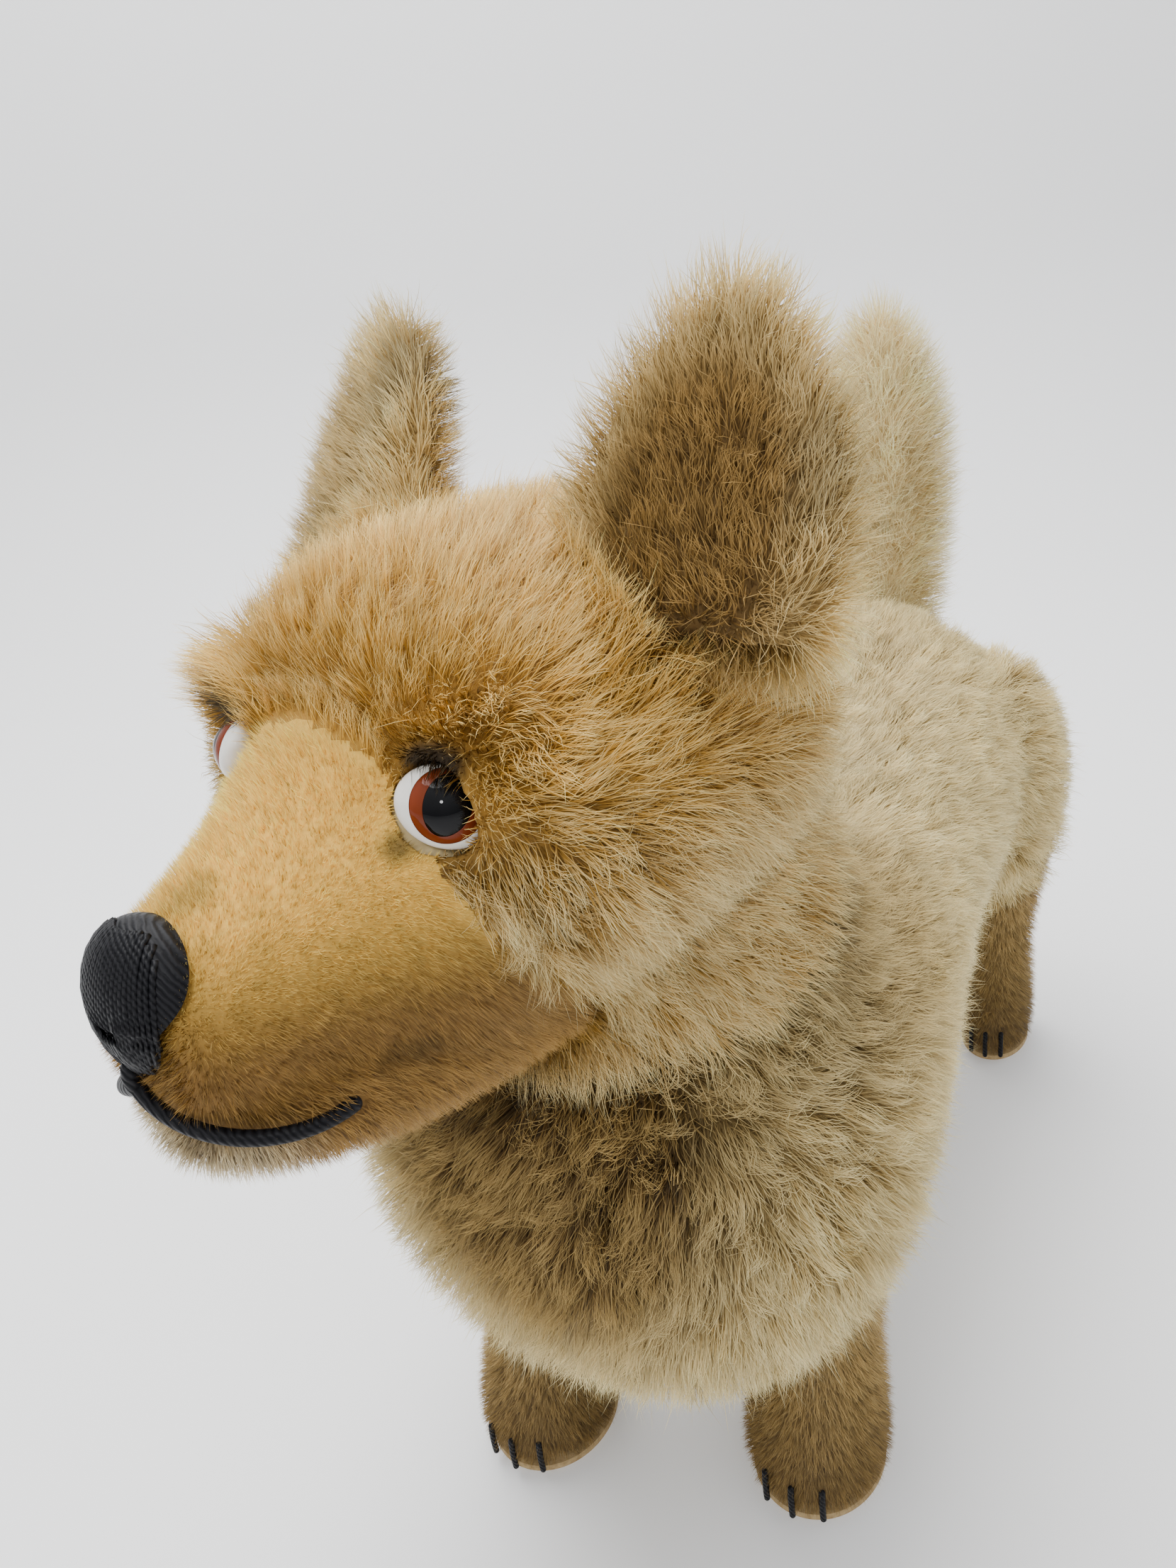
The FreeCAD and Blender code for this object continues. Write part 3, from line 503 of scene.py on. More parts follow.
def head_style(roots):
    """Long combed pile of the skull and cheeks."""
    style = blank_style(roots, 11.0, 0.45, 0.66, 0.2, stray=0.42, guard=0.07)
    local = to_head(roots.points)
    x, y, z = local.T
    side = np.sign(x)
    up_back = directions(x * 0.012, 0.62, 0.55)
    down_back = directions(side * 0.35, 0.55, -0.62)
    cheek = 1.0 - ramp(z, 36.0, 52.0)
    groom = mix(up_back, down_back, cheek)
    brow_spot = np.clip(mirrored_blob(local, (33, -62, 56), (16, 16, 11)), 0, 1)
    groom = mix(groom, directions(side * 0.9, -0.3, -0.25), brow_spot)
    style["length"] = (10.5 + 2.5 * cheek + 3.0 * brow_spot) * MM
    style["lift"] = 0.45 + 0.15 * brow_spot
    style["toss"] = 0.25 + 0.35 * cheek + 0.2 * brow_spot
    ear_foot = np.clip(mirrored_blob(local, EAR_POINT, (34, 26, 22)), 0, 1)
    groom = mix(groom, directions(side * 0.5, -0.25, 0.75), ear_foot * 0.8)
    style["groom"] = from_head_direction(groom)
    style["lift"] = style["lift"] + 0.2 * ear_foot
    style["length"] += 2.5 * ear_foot * MM
    front = 1.0 - ramp(y, -66.0, -48.0)
    style["length"] *= 1.0 - 0.25 * front * (1.0 - brow_spot)
    style["middle"] = mix(GOLD, TAN, cheek * 0.45)
    style["root"] = mix(DEEP_GOLD, DARK_ROOT, 0.2 + 0.6 * cheek)
    style["tip"] = mix(CREAM, STRAW, 0.55 - 0.4 * cheek)
    tint(style, SOOT, eye_soot(local) * 0.92)
    clear_eyes(style, local)
    return style


def eye_soot(local):
    """Airbrushed arch over each eye and the touch at its front corner."""
    arch = mirrored_blob(local, EYE_POINT + (-0.5, -2.5, 7.2), (8.5, 10.0, 4.4))
    corner = mirrored_blob(local, EYE_POINT + (-3.2, -8.0, -4.2), (4.6, 5.5, 4.4))
    return np.clip(1.3 * arch + 0.9 * corner, 0, 1)


def eye_distance(local):
    """How many eye half-sizes away the nearest eye centre is."""
    away = [
        np.linalg.norm((local - EYE_POINT * [sign, 1, 1]) / [7.6, 8.4, 6.8], axis=1)
        for _, sign in SIDES
    ]
    return np.minimum(*away)


def clear_eyes(style, local):
    """Short pile round the eyes, so that it frames the glass."""
    near = 1.0 - ramp(eye_distance(local), 1.0, 1.9)
    style["length"] = style["length"] * (1.0 - 0.68 * near)
    style["gather"] = style["gather"] * (1.0 - near)


def muzzle_style(roots):
    """Short dense velvet of the muzzle, combed back."""
    style = blank_style(roots, 3.2, 0.66, 0.1, 0.17, stray=0.35, swirl=0.25, toss=0.1)
    local = to_head(roots.points)
    x, y, z = local.T
    style["groom"] = from_head_direction(directions(x * 0.01, 0.9, -0.1))
    style["length"] = (2.4 + 1.4 * ramp(y, -84.0, -56.0)) * MM
    lower = 1.0 - ramp(z, 14.0, 40.0)
    style["root"] = mix(srgb(224, 174, 72), SIDE_ROOT, lower)
    style["middle"] = mix(srgb(246, 208, 102), SIDE_MIDDLE, lower)
    style["tip"] = mix(srgb(254, 228, 130), SIDE_TIP, lower)
    paint_chin(style, local)
    soot = eye_soot(local) + 0.55 * blob(local, (0, -98, 39), (9, 9, 6))
    soot += 0.5 * mirrored_blob(local, (25, -78, 7), (6, 9, 5))
    tint(style, SOOT, np.clip(soot, 0, 1) * 0.8)
    clear_eyes(style, local)
    return style


def lip_height(local):
    """Height of the mouth's line in the head's frame, high under the nose and low at the corner."""
    return np.interp(local[:, 1], [-111.0, -107.2, -88.0], [11.0, 5.8, 3.2])


def chin_share(local):
    """1 on the pale front of the chin, fading into the brown sides of the muzzle behind it."""
    below = 1.0 - ramp(local[:, 2] - lip_height(local), -3.0, -0.5)
    return below * (1.0 - ramp(local[:, 1], -104.0, -90.0))


def paint_chin(style, local):
    """Pale strands on the chin."""
    chin = chin_share(local)
    style["root"] = mix(style["root"], BROWN, chin)
    style["middle"] = mix(style["middle"], srgb(200, 178, 134), chin)
    style["tip"] = mix(style["tip"], srgb(240, 226, 188), chin)


def jaw_style(roots):
    """Short pile of the lower jaw, pale at the chin."""
    style = blank_style(roots, 4.0, 0.55, 0.2, 0.2, stray=0.4)
    local = to_head(roots.points)
    style["groom"] = from_head_direction(directions(0 * local[:, 0], 0.8, -0.35))
    style["root"] = SIDE_ROOT
    style["middle"] = SIDE_MIDDLE
    style["tip"] = SIDE_TIP
    paint_chin(style, local)
    return style


def ear_style(roots):
    """Standing pile of the ears: painted shade in the hollow that faces forward, deeper on the left ear,
    over slightly darker pile; pale on the back and rim.
    """
    style = blank_style(roots, 8.0, 0.5, 0.5, 0.22, stray=0.45, swirl=0.6, toss=0.4, guard=0.1)
    local = to_head(roots.points)
    x, _, z = local.T
    side = np.sign(x)
    # facing and hollow mark the forward-facing hollow, which gets painted shade below
    facing = ramp(-to_head_direction(roots.normals)[:, 1], -0.1, 0.75)
    hollow = mirrored_blob(local, (46, -26, 82), (23, 34, 44))
    hollow = np.clip(hollow * 1.15, 0, 1) * facing
    high = ramp(z, 62.0, 118.0)
    groom = directions(side * (0.25 - 0.1 * high), -0.1 + 0.3 * high, 0.8)
    skirt = 1.0 - ramp(z, 58.0, 76.0)
    hang = directions(side * 0.5, -0.2, -0.5)
    style["groom"] = from_head_direction(mix(groom, hang, skirt))
    style["length"] = (8.5 - 2.0 * hollow + 3.0 * skirt + 1.5 * ramp(z, 100, 120)) * MM
    # painted shade in the hollow, stronger on the left ear than on the right; partly darker pile too
    depth = hollow * np.where(side > 0, 0.9, 0.35)
    style["root"] = mix(TAN, DARK_ROOT, depth)
    style["middle"] = mix(srgb(238, 206, 132), srgb(112, 78, 24), depth)
    style["tip"] = mix(CREAM, srgb(182, 140, 66), depth)
    soot = blob(local, (-31, -12, 98), (6, 12, 20)) + 0.5 * blob(local, (60, -10, 84), (9, 12, 18))
    tint(style, GREY_BROWN, np.clip(soot, 0, 1) * 0.6)
    return style


def long_body_style(roots):
    """Tufted long pile of chest, back, haunches and tail."""
    style = blank_style(roots, 12.0, 0.45, 0.78, 0.24, stray=0.55, swirl=1.0, toss=0.6, guard=0.09)
    x, y, z = (roots.points / MM).T
    side = np.sign(x)
    chest = 1.0 - ramp(y, -80.0, -30.0)
    groom = directions(side * 0.15, 0.75, -0.45 - 0.2 * ramp(-z, -150.0, -90.0))
    groom = mix(groom, directions(x * 0.006, -0.15, -0.9), chest)
    tail = roots.covers == "tail_cover"
    groom[tail] = directions(x * 0.01, (y - 150.0) * 0.01, 0.8)[tail]
    style["groom"] = groom
    style["length"] = (11.0 + 1.5 * chest) * MM
    style["lift"] = 0.45 + 0.12 * chest
    style["toss"] = 0.55 + 0.6 * chest
    # Darker pile on the back and shoulders, and in the middle of the chest, where it is partly painted
    # shade of the chest turned away from the light and partly a darker tone of the pile.
    centre = chest * blob(roots.points / MM, (0, -120, 135), (52, 80, 62))
    back = ramp(z, 150.0, 185.0) * ramp(y, -70.0, -40.0) * (1.0 - ramp(y, 90.0, 140.0))
    shoulder = mirrored_blob(roots.points / MM, (48, -45, 160), (34, 62, 52))
    deep = np.clip(centre * 1.2 + 0.8 * back + 0.55 * shoulder, 0, 1)
    style["root"] = mix(srgb(132, 106, 58), srgb(58, 42, 18), deep)
    style["middle"] = mix(srgb(208, 182, 120), srgb(112, 84, 36), deep)
    style["tip"] = mix(CREAM, srgb(206, 172, 100), 0.05 + 0.85 * deep)
    style["gather"][tail] = 0.35
    style["toss"][tail] = 0.35
    style["length"][tail] = 13.0 * MM
    style["root"][tail] = srgb(226, 200, 142)
    style["middle"][tail] = srgb(246, 230, 180)
    style["tip"][tail] = CREAM
    return style


def leg_style(roots):
    """Short golden brown pile of the legs, darker at the floor."""
    style = blank_style(roots, 4.6, 0.5, 0.3, 0.24, stray=0.4)
    x, _, z = (roots.points / MM).T
    style["groom"] = directions(0.1 * np.sign(x), -0.05, -0.9)
    low = 1.0 - ramp(z, 6.0, 40.0)
    style["root"] = np.tile(BROWN, (len(x), 1))
    style["middle"] = mix(srgb(160, 130, 74), srgb(108, 84, 42), low)
    style["tip"] = mix(srgb(212, 182, 120), srgb(154, 124, 70), low)
    style["length"] = (4.8 - 1.2 * low) * MM
    return style


STYLES = {
    "head_cover": head_style,
    "muzzle_cover": muzzle_style,
    "jaw_cover": jaw_style,
    "left_ear_back": ear_style,
    "right_ear_back": ear_style,
    "left_ear_lining": ear_style,
    "right_ear_lining": ear_style,
    "body_cover": long_body_style,
    "tail_cover": long_body_style,
}
for side_name, _ in SIDES:
    STYLES[f"{side_name}_haunch_cover"] = long_body_style
    for end_name in ENDS:
        STYLES[f"{side_name}_{end_name}_leg_cover"] = leg_style


def style_by_cover(roots):
    """Each root's style from the cover it stands on."""
    joined = {}
    for cover in sorted(set(roots.covers)):
        chosen = np.nonzero(roots.covers == cover)[0]
        part = STYLES[cover](roots.pick(chosen))
        for key, values in part.items():
            if key not in joined:
                joined[key] = np.zeros((len(roots.points),) + values.shape[1:])
            joined[key][chosen] = values
    return joined


# ---------------------------------------------------------------- materials


def shader(name):
    """A new material with its node tree and Principled shader."""
    material = bpy.data.materials.new(name)
    material.use_nodes = True
    nodes = material.node_tree.nodes
    return material, nodes, material.node_tree.links, nodes["Principled BSDF"]


def pile_material(name, translucent):
    """Mohair strand: tone from the strand, a soft gloss, and light through the tips."""
    material, nodes, links, surface = shader(name)
    tone = nodes.new("ShaderNodeVertexColor")
    tone.layer_name = "tone"
    links.new(tone.outputs["Color"], surface.inputs["Base Color"])
    surface.inputs["Roughness"].default_value = 0.55
    surface.inputs["Specular IOR Level"].default_value = 0.28
    glow = nodes.new("ShaderNodeBsdfTranslucent")
    links.new(tone.outputs["Color"], glow.inputs["Color"])
    blend = nodes.new("ShaderNodeMixShader")
    blend.inputs["Fac"].default_value = translucent
    links.new(surface.outputs["BSDF"], blend.inputs[1])
    links.new(glow.outputs["BSDF"], blend.inputs[2])
    links.new(blend.outputs["Shader"], nodes["Material Output"].inputs["Surface"])
    return material


def two_tone(name, dark, light, scale, roughness, bump, detail=4.0):
    """Noise-mottled material with matching bump, for cloth, board and felt."""
    material, nodes, links, surface = shader(name)
    place = nodes.new("ShaderNodeTexCoord")
    grain = nodes.new("ShaderNodeTexNoise")
    grain.inputs["Scale"].default_value = scale
    grain.inputs["Detail"].default_value = detail
    links.new(place.outputs["Object"], grain.inputs["Vector"])
    colours = nodes.new("ShaderNodeValToRGB")
    colours.color_ramp.elements[0].color = (*dark, 1)
    colours.color_ramp.elements[0].position = 0.3
    colours.color_ramp.elements[1].color = (*light, 1)
    colours.color_ramp.elements[1].position = 0.7
    links.new(grain.outputs["Fac"], colours.inputs["Fac"])
    links.new(colours.outputs["Color"], surface.inputs["Base Color"])
    surface.inputs["Roughness"].default_value = roughness
    relief = nodes.new("ShaderNodeBump")
    relief.inputs["Strength"].default_value = bump
    relief.inputs["Distance"].default_value = 0.4 * MM
    links.new(grain.outputs["Fac"], relief.inputs["Height"])
    links.new(relief.outputs["Normal"], surface.inputs["Normal"])
    return material


def backing_material():
    """Woven backing cloth: fine noise mottling and bump over the tone of the pile above."""
    material, nodes, links, surface = shader("woven_backing")
    tone = nodes.new("ShaderNodeVertexColor")
    tone.layer_name = "tone"
    place = nodes.new("ShaderNodeTexCoord")
    weave = nodes.new("ShaderNodeTexNoise")
    weave.inputs["Scale"].default_value = 900.0
    links.new(place.outputs["Object"], weave.inputs["Vector"])
    shade = nodes.new("ShaderNodeMapRange")
    shade.inputs["To Min"].default_value = 0.6
    shade.inputs["To Max"].default_value = 1.15
    links.new(weave.outputs["Fac"], shade.inputs["Value"])
    blend = nodes.new("ShaderNodeVectorMath")
    blend.operation = "SCALE"
    links.new(tone.outputs["Color"], blend.inputs["Vector"])
    links.new(shade.outputs["Result"], blend.inputs["Scale"])
    links.new(blend.outputs["Vector"], surface.inputs["Base Color"])
    surface.inputs["Roughness"].default_value = 0.9
    relief = nodes.new("ShaderNodeBump")
    relief.inputs["Strength"].default_value = 0.5
    relief.inputs["Distance"].default_value = 0.3 * MM
    links.new(weave.outputs["Fac"], relief.inputs["Height"])
    links.new(relief.outputs["Normal"], surface.inputs["Normal"])
    return material


def use(material, *nodes):
    """Gives the CAD nodes a material, through their own material slots."""
    for node in nodes:
        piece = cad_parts[node]
        if not piece.material_slots:
            piece.data.materials.append(material)
        for slot in piece.material_slots:
            slot.material = material


# ---------------------------------------------------------------- camera, floor and light


def make_camera():
    """Looks down at the head from the front left, as a hand-held phone does."""
    turn = math.radians(30.41)
    down = math.radians(25.05)
    roll = math.radians(7.89)
    forward = Vector(
        (-math.sin(turn) * math.cos(down), math.cos(turn) * math.cos(down), -math.sin(down))
    )
    right = Vector((math.cos(turn), math.sin(turn), 0))
    below = forward.cross(right)
    right, below = (
        math.cos(roll) * right + math.sin(roll) * below,
        -math.sin(roll) * right + math.cos(roll) * below,
    )
    data = bpy.data.cameras.new("camera")
    data.sensor_width = 36.0
    data.lens = 27.8626
    data.clip_start = 0.01
    camera = link(bpy.data.objects.new("camera", data))
    axes = Matrix((right, -below, -forward)).transposed().to_4x4()
    camera.matrix_world = Matrix.Translation(Vector((112.8, -265.5, 302.3)) * MM) @ axes
    scene.camera = camera


def make_stage():
    """A pale sheet that runs from the floor up into a backdrop."""
    form = bmesh.new()
    half, deep, wall, bend, top = 4.0, 3.0, 0.55, 0.25, 1.6
    bend_steps = 12
    line = [(-deep, 0.0), (wall, 0.0)]
    for step in range(1, bend_steps + 1):
        angle = math.radians(90 * step / bend_steps)
        line.append((wall + bend * math.sin(angle), bend * (1 - math.cos(angle))))
    line.append((wall + bend, top))
    rows = [[form.verts.new((x, y, z)) for x in (-half, half)] for y, z in line]
    for low, high in zip(rows, rows[1:]):
        form.faces.new((low[0], low[1], high[1], high[0]))
    mesh = bpy.data.meshes.new("floor")
    form.to_mesh(mesh)
    form.free()
    for poly in mesh.polygons:
        poly.use_smooth = True
    floor = link(bpy.data.objects.new("floor", mesh))
    floor.rotation_euler = (0, 0, math.radians(30))
    floor.data.materials.append(
        two_tone("pale_sheet", (0.9, 0.9, 0.9), (0.92, 0.92, 0.92), 3.0, 0.6, 0.0)
    )


def area_light(name, place, target, size, power):
    """A round lamp that faces the target."""
    data = bpy.data.lights.new(name, "AREA")
    data.shape = "DISK"
    data.size = size
    data.energy = power
    light = link(bpy.data.objects.new(name, data))
    light.location = place
    aim = Vector(target) - Vector(place)
    light.rotation_euler = aim.to_track_quat("-Z", "Y").to_euler()


def make_lights():
    """A bright ceiling that fades towards the horizon, and a soft lamp above and behind."""
    world = bpy.data.worlds.new("studio")
    world.use_nodes = True
    nodes, links = world.node_tree.nodes, world.node_tree.links
    place = nodes.new("ShaderNodeTexCoord")
    split = nodes.new("ShaderNodeSeparateXYZ")
    links.new(place.outputs["Generated"], split.inputs["Vector"])
    sky = nodes.new("ShaderNodeValToRGB")
    sky.color_ramp.elements[0].color = (0.42, 0.43, 0.45, 1)
    sky.color_ramp.elements[0].position = 0.0
    sky.color_ramp.elements[1].color = (1.25, 1.27, 1.3, 1)
    sky.color_ramp.elements[1].position = 0.9
    links.new(split.outputs["Z"], sky.inputs["Fac"])
    links.new(sky.outputs["Color"], nodes["Background"].inputs["Color"])
    nodes["Background"].inputs["Strength"].default_value = 1.02
    scene.world = world
    area_light("top", (-0.3, 0.2, 1.2), (0, 0, 0.15), 1.1, 22)
    area_light("window", (0.35, -1.0, 1.0), (0, 0, 0.15), 0.2, 5)


# ---------------------------------------------------------------- build

make_camera()
make_stage()
make_lights()

backing = backing_material()
long_pile = pile_material("long_pile", 0.22)
short_pile = pile_material("short_pile", 0.18)

TORSO_COVERS = [("body_cover", "body_backing"), ("tail_cover", "tail_backing")]
for side_name, _ in SIDES:
    TORSO_COVERS.append((f"{side_name}_haunch_cover", f"{side_name}_haunch_backing"))
    for end_name in ENDS:
        TORSO_COVERS.append(
            (f"{side_name}_{end_name}_leg_cover", f"{side_name}_{end_name}_leg_backing")
        )
HEAD_COVERS = [
    ("head_cover", "head_backing"),
    ("muzzle_cover", "muzzle_backing"),
    ("jaw_cover", "jaw_backing"),
]
for side_name, _ in SIDES:
    HEAD_COVERS.append((f"{side_name}_ear_back", f"{side_name}_ear_back_cloth"))
    HEAD_COVERS.append((f"{side_name}_ear_lining", f"{side_name}_ear_lining_cloth"))

SHORT_COVERS = ("leg_cover", "muzzle_cover", "jaw_cover", "ear_back", "ear_lining")


def inset_for(covers, trees):
    """How far under the cover's surface the pile is rooted at each point."""
    short = np.array([cover.endswith(SHORT_COVERS) for cover, _ in covers])

    def insets(points):
        owner = nearest_cover(points, trees)
        depth = np.where(short[owner], SHORT_INSET, LONG_INSET)
        near = 1.0 - ramp(eye_distance(to_head(points)), 1.0, 2.4)
        return depth * (1.0 - near) + EYE_INSET * near

    return insets


def tint_backing(pieces):
    """Gives the cloth the colour of the pile that stands on it, a little deeper."""
    for cover, piece in pieces.items():
        mesh = piece.data
        points = np.array([vert.co for vert in mesh.vertices])
        normals = np.array([vert.normal for vert in mesh.vertices])
        names = np.full(len(points), cover, dtype=object)
        style = STYLES[cover](Roots(points, normals, names))
        tones = np.ones((len(points), 4))
        tones[:, :3] = mix(style["root"], style["middle"], BACKING_TONE)
        layer = mesh.color_attributes.new("tone", "FLOAT_COLOR", "POINT")
        layer.data.foreach_set("color", tones.astype(np.float32).ravel())


def make_backing(covers, body):
    """The woven cloth under one body's pile, one piece for each cover."""
    trees = [tree_of(cover) for cover, _ in covers]
    form = backing_form([cover for cover, _ in covers], inset_for(covers, trees))
    pieces = split_backing(form, covers, trees, body, backing)
    tint_backing(pieces)
    form.free()
    return pieces


head_backing = make_backing(HEAD_COVERS, "head")
torso_backing = make_backing(TORSO_COVERS, "torso")


def thread_tree(nodes):
    """All the threads of these nodes, to measure distances to them."""
    mesh = joined_covers(nodes)
    points = [vert.co for vert in mesh.vertices]
    return BVHTree.FromPolygons(points, [poly.vertices for poly in mesh.polygons])


FACE_THREADS = thread_tree(["mouth_stitching", "nose_stitching"])
CLAW_THREADS = thread_tree([f"{side}_{end}_claw_stitches" for side, _ in SIDES for end in ENDS])


def thread_gap(points, tree):
    """Distance from each point to the nearest thread, up to 12 mm."""
    far = 12 * MM
    found = [tree.find_nearest(Vector(point), far)[3] for point in points]
    return np.array([far if away is None else away for away in found])


# strands per square millimetre
HEAD_PILE = 3.4
MUZZLE_PILE = 6.0
JAW_PILE = 5.0
LEG_PILE = 3.4
BODY_PILE = 2.1
FACE_THREAD_CLEAR = 1.4 * MM
CLAW_THREAD_CLEAR = 1.0 * MM
TUFTS_OF_LONG_PILE = 0.035


def head_density(points, normals, covers):
    """No strands under the glass eyes and the threads, more on the velvet."""
    dense = np.where(covers == "muzzle_cover", MUZZLE_PILE, HEAD_PILE)
    dense = np.where(covers == "jaw_cover", JAW_PILE, dense)
    clear = thread_gap(points, FACE_THREADS) > FACE_THREAD_CLEAR
    return dense * clear * (eye_distance(to_head(points)) > 0.98)


def torso_density(points, normals, covers):
    """No strands on the soles."""
    legs = np.array([cover.endswith("leg_cover") for cover in covers])
    dense = np.where(legs, LEG_PILE, BODY_PILE)
    sole = legs & (normals[:, 2] < -0.6) & (points[:, 2] < 6 * MM)
    clear = thread_gap(points, CLAW_THREADS) > CLAW_THREAD_CLEAR
    return dense * ~sole * clear


def part_of(pieces, names):
    """The pieces whose cover's name ends with one of the names."""
    return {cover: piece for cover, piece in pieces.items() if cover.endswith(names)}


head_long = part_of(head_backing, ("head_cover", "ear_back", "ear_lining"))
head_short = part_of(head_backing, ("muzzle_cover", "jaw_cover"))
torso_long = part_of(torso_backing, ("body_cover", "tail_cover", "haunch_cover"))
torso_short = part_of(torso_backing, ("leg_cover",))
grow(
    "head_pile", head_long, head_density, style_by_cover,
    "head", long_pile, 11, tufts=TUFTS_OF_LONG_PILE,
)
grow(
    "muzzle_pile", head_short, head_density, style_by_cover,
    "head", short_pile, 12, segments=2,
)
grow(
    "body_pile", torso_long, torso_density, style_by_cover,
    "torso", long_pile, 13, tufts=TUFTS_OF_LONG_PILE,
)
grow(
    "leg_pile", torso_short, torso_density, style_by_cover,
    "torso", short_pile, 14, segments=2,
)

# ---------------------------------------------------------------- threads, glass and inner parts


def thread_material():
    """Black cotton thread with its twist."""
    material, nodes, links, surface = shader("black_thread")
    place = nodes.new("ShaderNodeTexCoord")
    twist = nodes.new("ShaderNodeTexWave")
    twist.bands_direction = "DIAGONAL"
    twist.inputs["Scale"].default_value = 420.0
    twist.inputs["Distortion"].default_value = 3.0
    links.new(place.outputs["Object"], twist.inputs["Vector"])
    colours = nodes.new("ShaderNodeValToRGB")
    colours.color_ramp.elements[0].color = (0.002, 0.002, 0.003, 1)
    colours.color_ramp.elements[1].color = (0.012, 0.012, 0.014, 1)
    links.new(twist.outputs["Fac"], colours.inputs["Fac"])
    links.new(colours.outputs["Color"], surface.inputs["Base Color"])
    surface.inputs["Roughness"].default_value = 0.45
    surface.inputs["Specular IOR Level"].default_value = 0.12
    relief = nodes.new("ShaderNodeBump")
    relief.inputs["Strength"].default_value = 0.6
    relief.inputs["Distance"].default_value = 0.2 * MM
    links.new(twist.outputs["Fac"], relief.inputs["Height"])
    links.new(relief.outputs["Normal"], surface.inputs["Normal"])
    return material


def glass_material(name, dark, light, roughness=0.04):
    """Glossy blown glass whose colour drifts a little from spot to spot."""
    material = two_tone(name, dark, light, 260.0, roughness, 0.0, detail=2.0)
    surface = material.node_tree.nodes["Principled BSDF"]
    surface.inputs["Specular IOR Level"].default_value = 0.12
    surface.inputs["Coat Weight"].default_value = 0.12
    surface.inputs["Coat Roughness"].default_value = 0.01
    return material


def iris_material(name, centre, radius):
    """Brown glass, nearly black by the pupil and red-brown at the rim where light comes through."""
    material, nodes, links, surface = shader(name)
    place = nodes.new("ShaderNodeTexCoord")
    away = nodes.new("ShaderNodeVectorMath")
    away.operation = "DISTANCE"
    away.inputs[1].default_value = centre
    links.new(place.outputs["Object"], away.inputs[0])
    share = nodes.new("ShaderNodeMapRange")
    share.inputs["From Min"].default_value = radius * 0.55
    share.inputs["From Max"].default_value = radius * 1.02
    links.new(away.outputs["Value"], share.inputs["Value"])
    colours = nodes.new("ShaderNodeValToRGB")
    colours.color_ramp.elements[0].color = (*srgb(34, 16, 8), 1)
    colours.color_ramp.elements[1].color = (*srgb(116, 48, 22), 1)
    middle = colours.color_ramp.elements.new(0.55)
    middle.color = (*srgb(70, 30, 14), 1)
    links.new(share.outputs["Result"], colours.inputs["Fac"])
    links.new(colours.outputs["Color"], surface.inputs["Base Color"])
    surface.inputs["Roughness"].default_value = 0.05
    surface.inputs["Specular IOR Level"].default_value = 0.12
    surface.inputs["Coat Weight"].default_value = 0.12
    surface.inputs["Coat Roughness"].default_value = 0.01
    return material


def tube(form, points, radius, sides=6):
    """A round thread through the points, closed at both ends."""
    rings = []
    for index, point in enumerate(points):
        ahead = points[min(index + 1, len(points) - 1)] - points[max(index - 1, 0)]
        turn = ahead.to_track_quat("Z", "Y")
        ring = []
        for corner in range(sides):
            angle = 2 * math.pi * corner / sides
            out = Vector((math.cos(angle), math.sin(angle), 0)) * radius
            ring.append(form.verts.new(point + turn @ out))
        rings.append(ring)
    for low, high in zip(rings, rings[1:]):
        for corner in range(sides):
            after = (corner + 1) % sides
            form.faces.new((low[corner], low[after], high[after], high[corner]))
    form.faces.new(rings[0][::-1])
    form.faces.new(rings[-1])


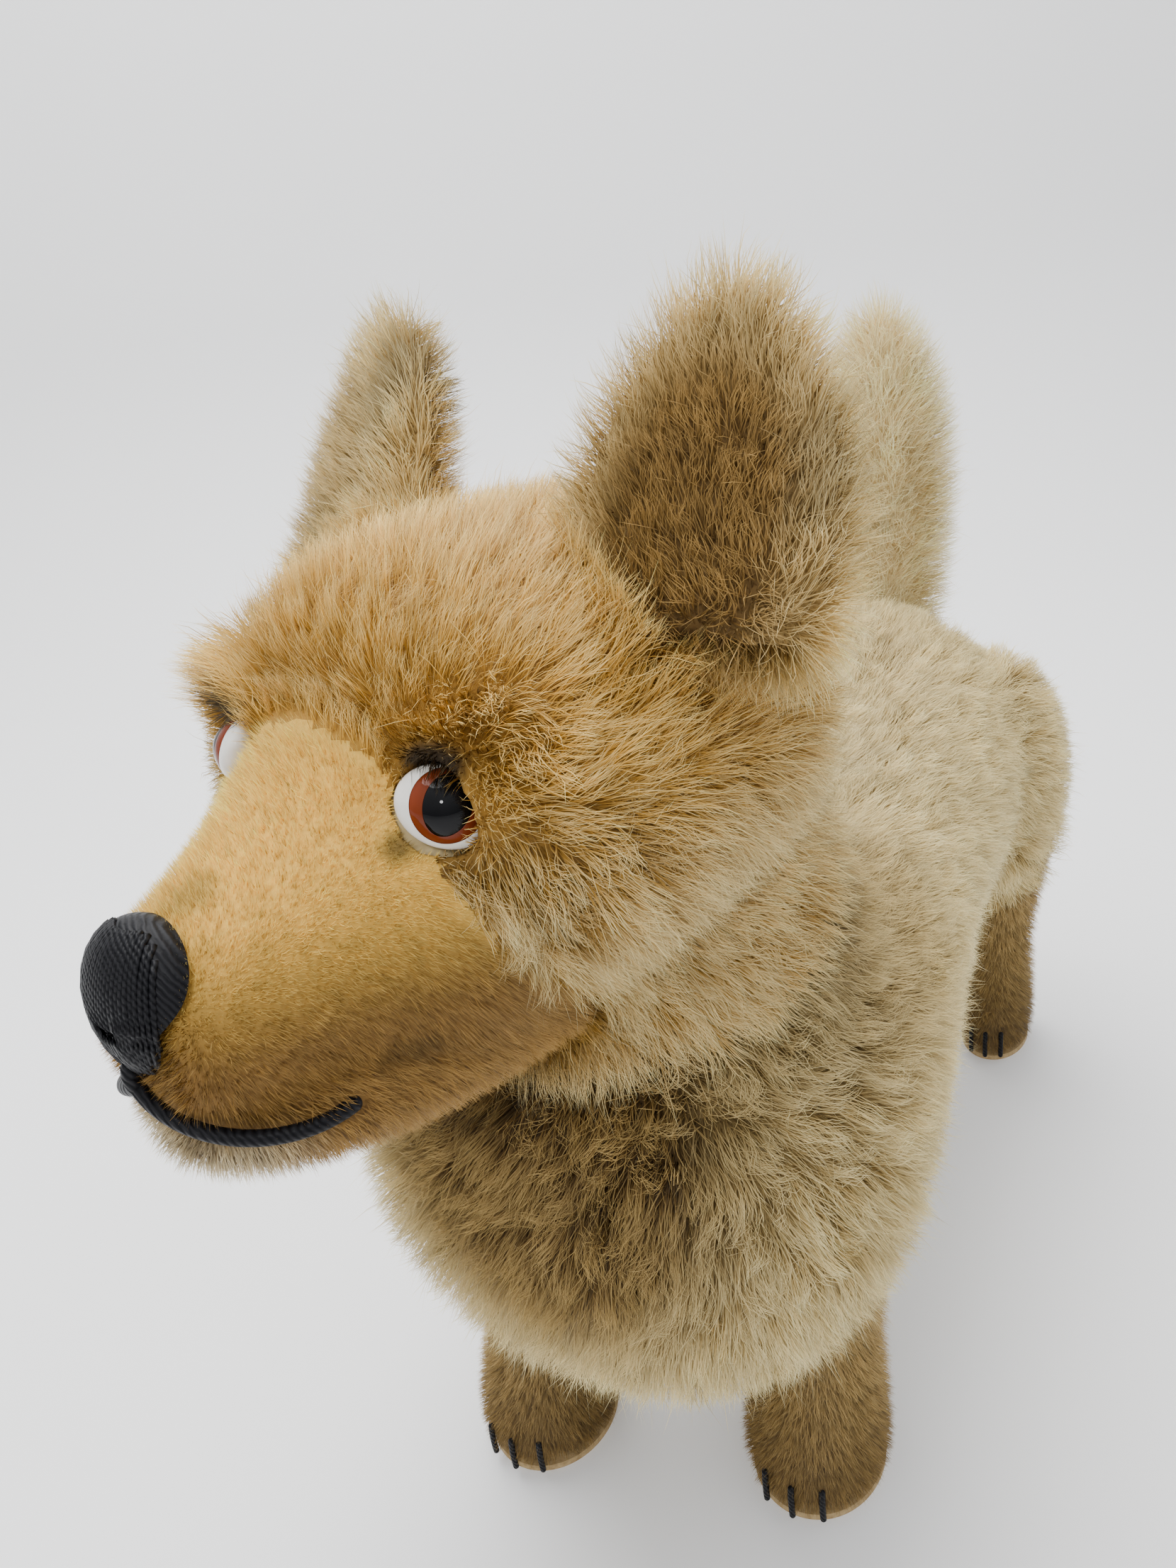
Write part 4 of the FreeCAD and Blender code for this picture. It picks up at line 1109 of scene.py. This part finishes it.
def nose_threads(material):
    """Satin stitch over the nose: fine threads laid side by side from the bridge to the lip."""
    rng = np.random.default_rng(31)
    tree = tree_of("nose_stitching")
    form = bmesh.new()
    axes = Matrix([list(row) for row in HEAD_AXES])
    centre = Vector(HEAD_POINT) + axes @ Vector((0, -104.5, 24.0))
    columns, steps, half_wide, half_tall = 34, 14, 13.0, 13.0
    thread_radius = 0.55 * MM
    for column in range(columns):
        across = -1 + 2 * (column + 0.5) / columns
        lean = 0.10 * across + rng.normal() * 0.012
        points = []
        for step in range(steps + 1):
            up = math.cos(math.pi * step / steps) * 0.97
            reach = math.sqrt(max(0.0, 1 - up * up))
            x = (across * (0.25 + 0.75 * reach) + lean * up) * half_wide
            start = centre + axes @ Vector((x, -30.0, up * half_tall))
            spot = tree.ray_cast(start * MM, axes @ Vector((0, 1, 0)), 40 * MM)[0]
            if spot is not None:
                points.append(spot + axes @ Vector((0, -0.12 * MM * rng.random(), 0)))
        if len(points) > 3:
            tube(form, points, thread_radius)
    mesh = bpy.data.meshes.new("nose_satin_threads")
    form.to_mesh(mesh)
    form.free()
    for poly in mesh.polygons:
        poly.use_smooth = True
    piece = link(bpy.data.objects.new("nose_satin_threads", mesh))
    piece.data.materials.append(material)
    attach(piece, "head")


black_thread = thread_material()
use(black_thread, "nose_stitching", "mouth_stitching", "belly_seam_stitches")
nose_threads(black_thread)
white_glass = glass_material("white_glass", srgb(222, 218, 208), srgb(238, 236, 230))
black_glass = glass_material("black_glass", (0.001, 0.001, 0.001), (0.004, 0.004, 0.005), 0.02)
felt = two_tone("sole_felt", srgb(150, 124, 82), srgb(186, 160, 116), 700.0, 0.95, 0.5)
board = two_tone("board", srgb(128, 104, 74), srgb(160, 134, 98), 350.0, 0.85, 0.25)
wool = two_tone("wood_wool", srgb(176, 152, 104), srgb(222, 202, 152), 180.0, 0.9, 0.8)
steel = two_tone("steel_wire", (0.28, 0.28, 0.29), (0.42, 0.42, 0.43), 600.0, 0.35, 0.05)
steel.node_tree.nodes["Principled BSDF"].inputs["Metallic"].default_value = 1.0

MATERIAL_BY_ENDING = (
    ("claw_stitches", black_thread),
    ("eye_white", white_glass),
    ("eye_pupil", black_glass),
    ("sole_pad", felt),
    ("sole_board", board),
    ("_disc", board),
    ("stuffing", wool),
    ("wire", steel),
    ("washer", steel),
    ("cotter_pin", steel),
)
for node_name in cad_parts:
    for ending, node_material in MATERIAL_BY_ENDING:
        if node_name.endswith(ending):
            use(node_material, node_name)
for side_name, _ in SIDES:
    eye_low, eye_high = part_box(f"{side_name}_eye_pupil")
    eye_centre = (eye_low + eye_high) / 2
    use(iris_material(f"{side_name}_iris_glass", eye_centre, 6.0 * MM), f"{side_name}_eye_iris")
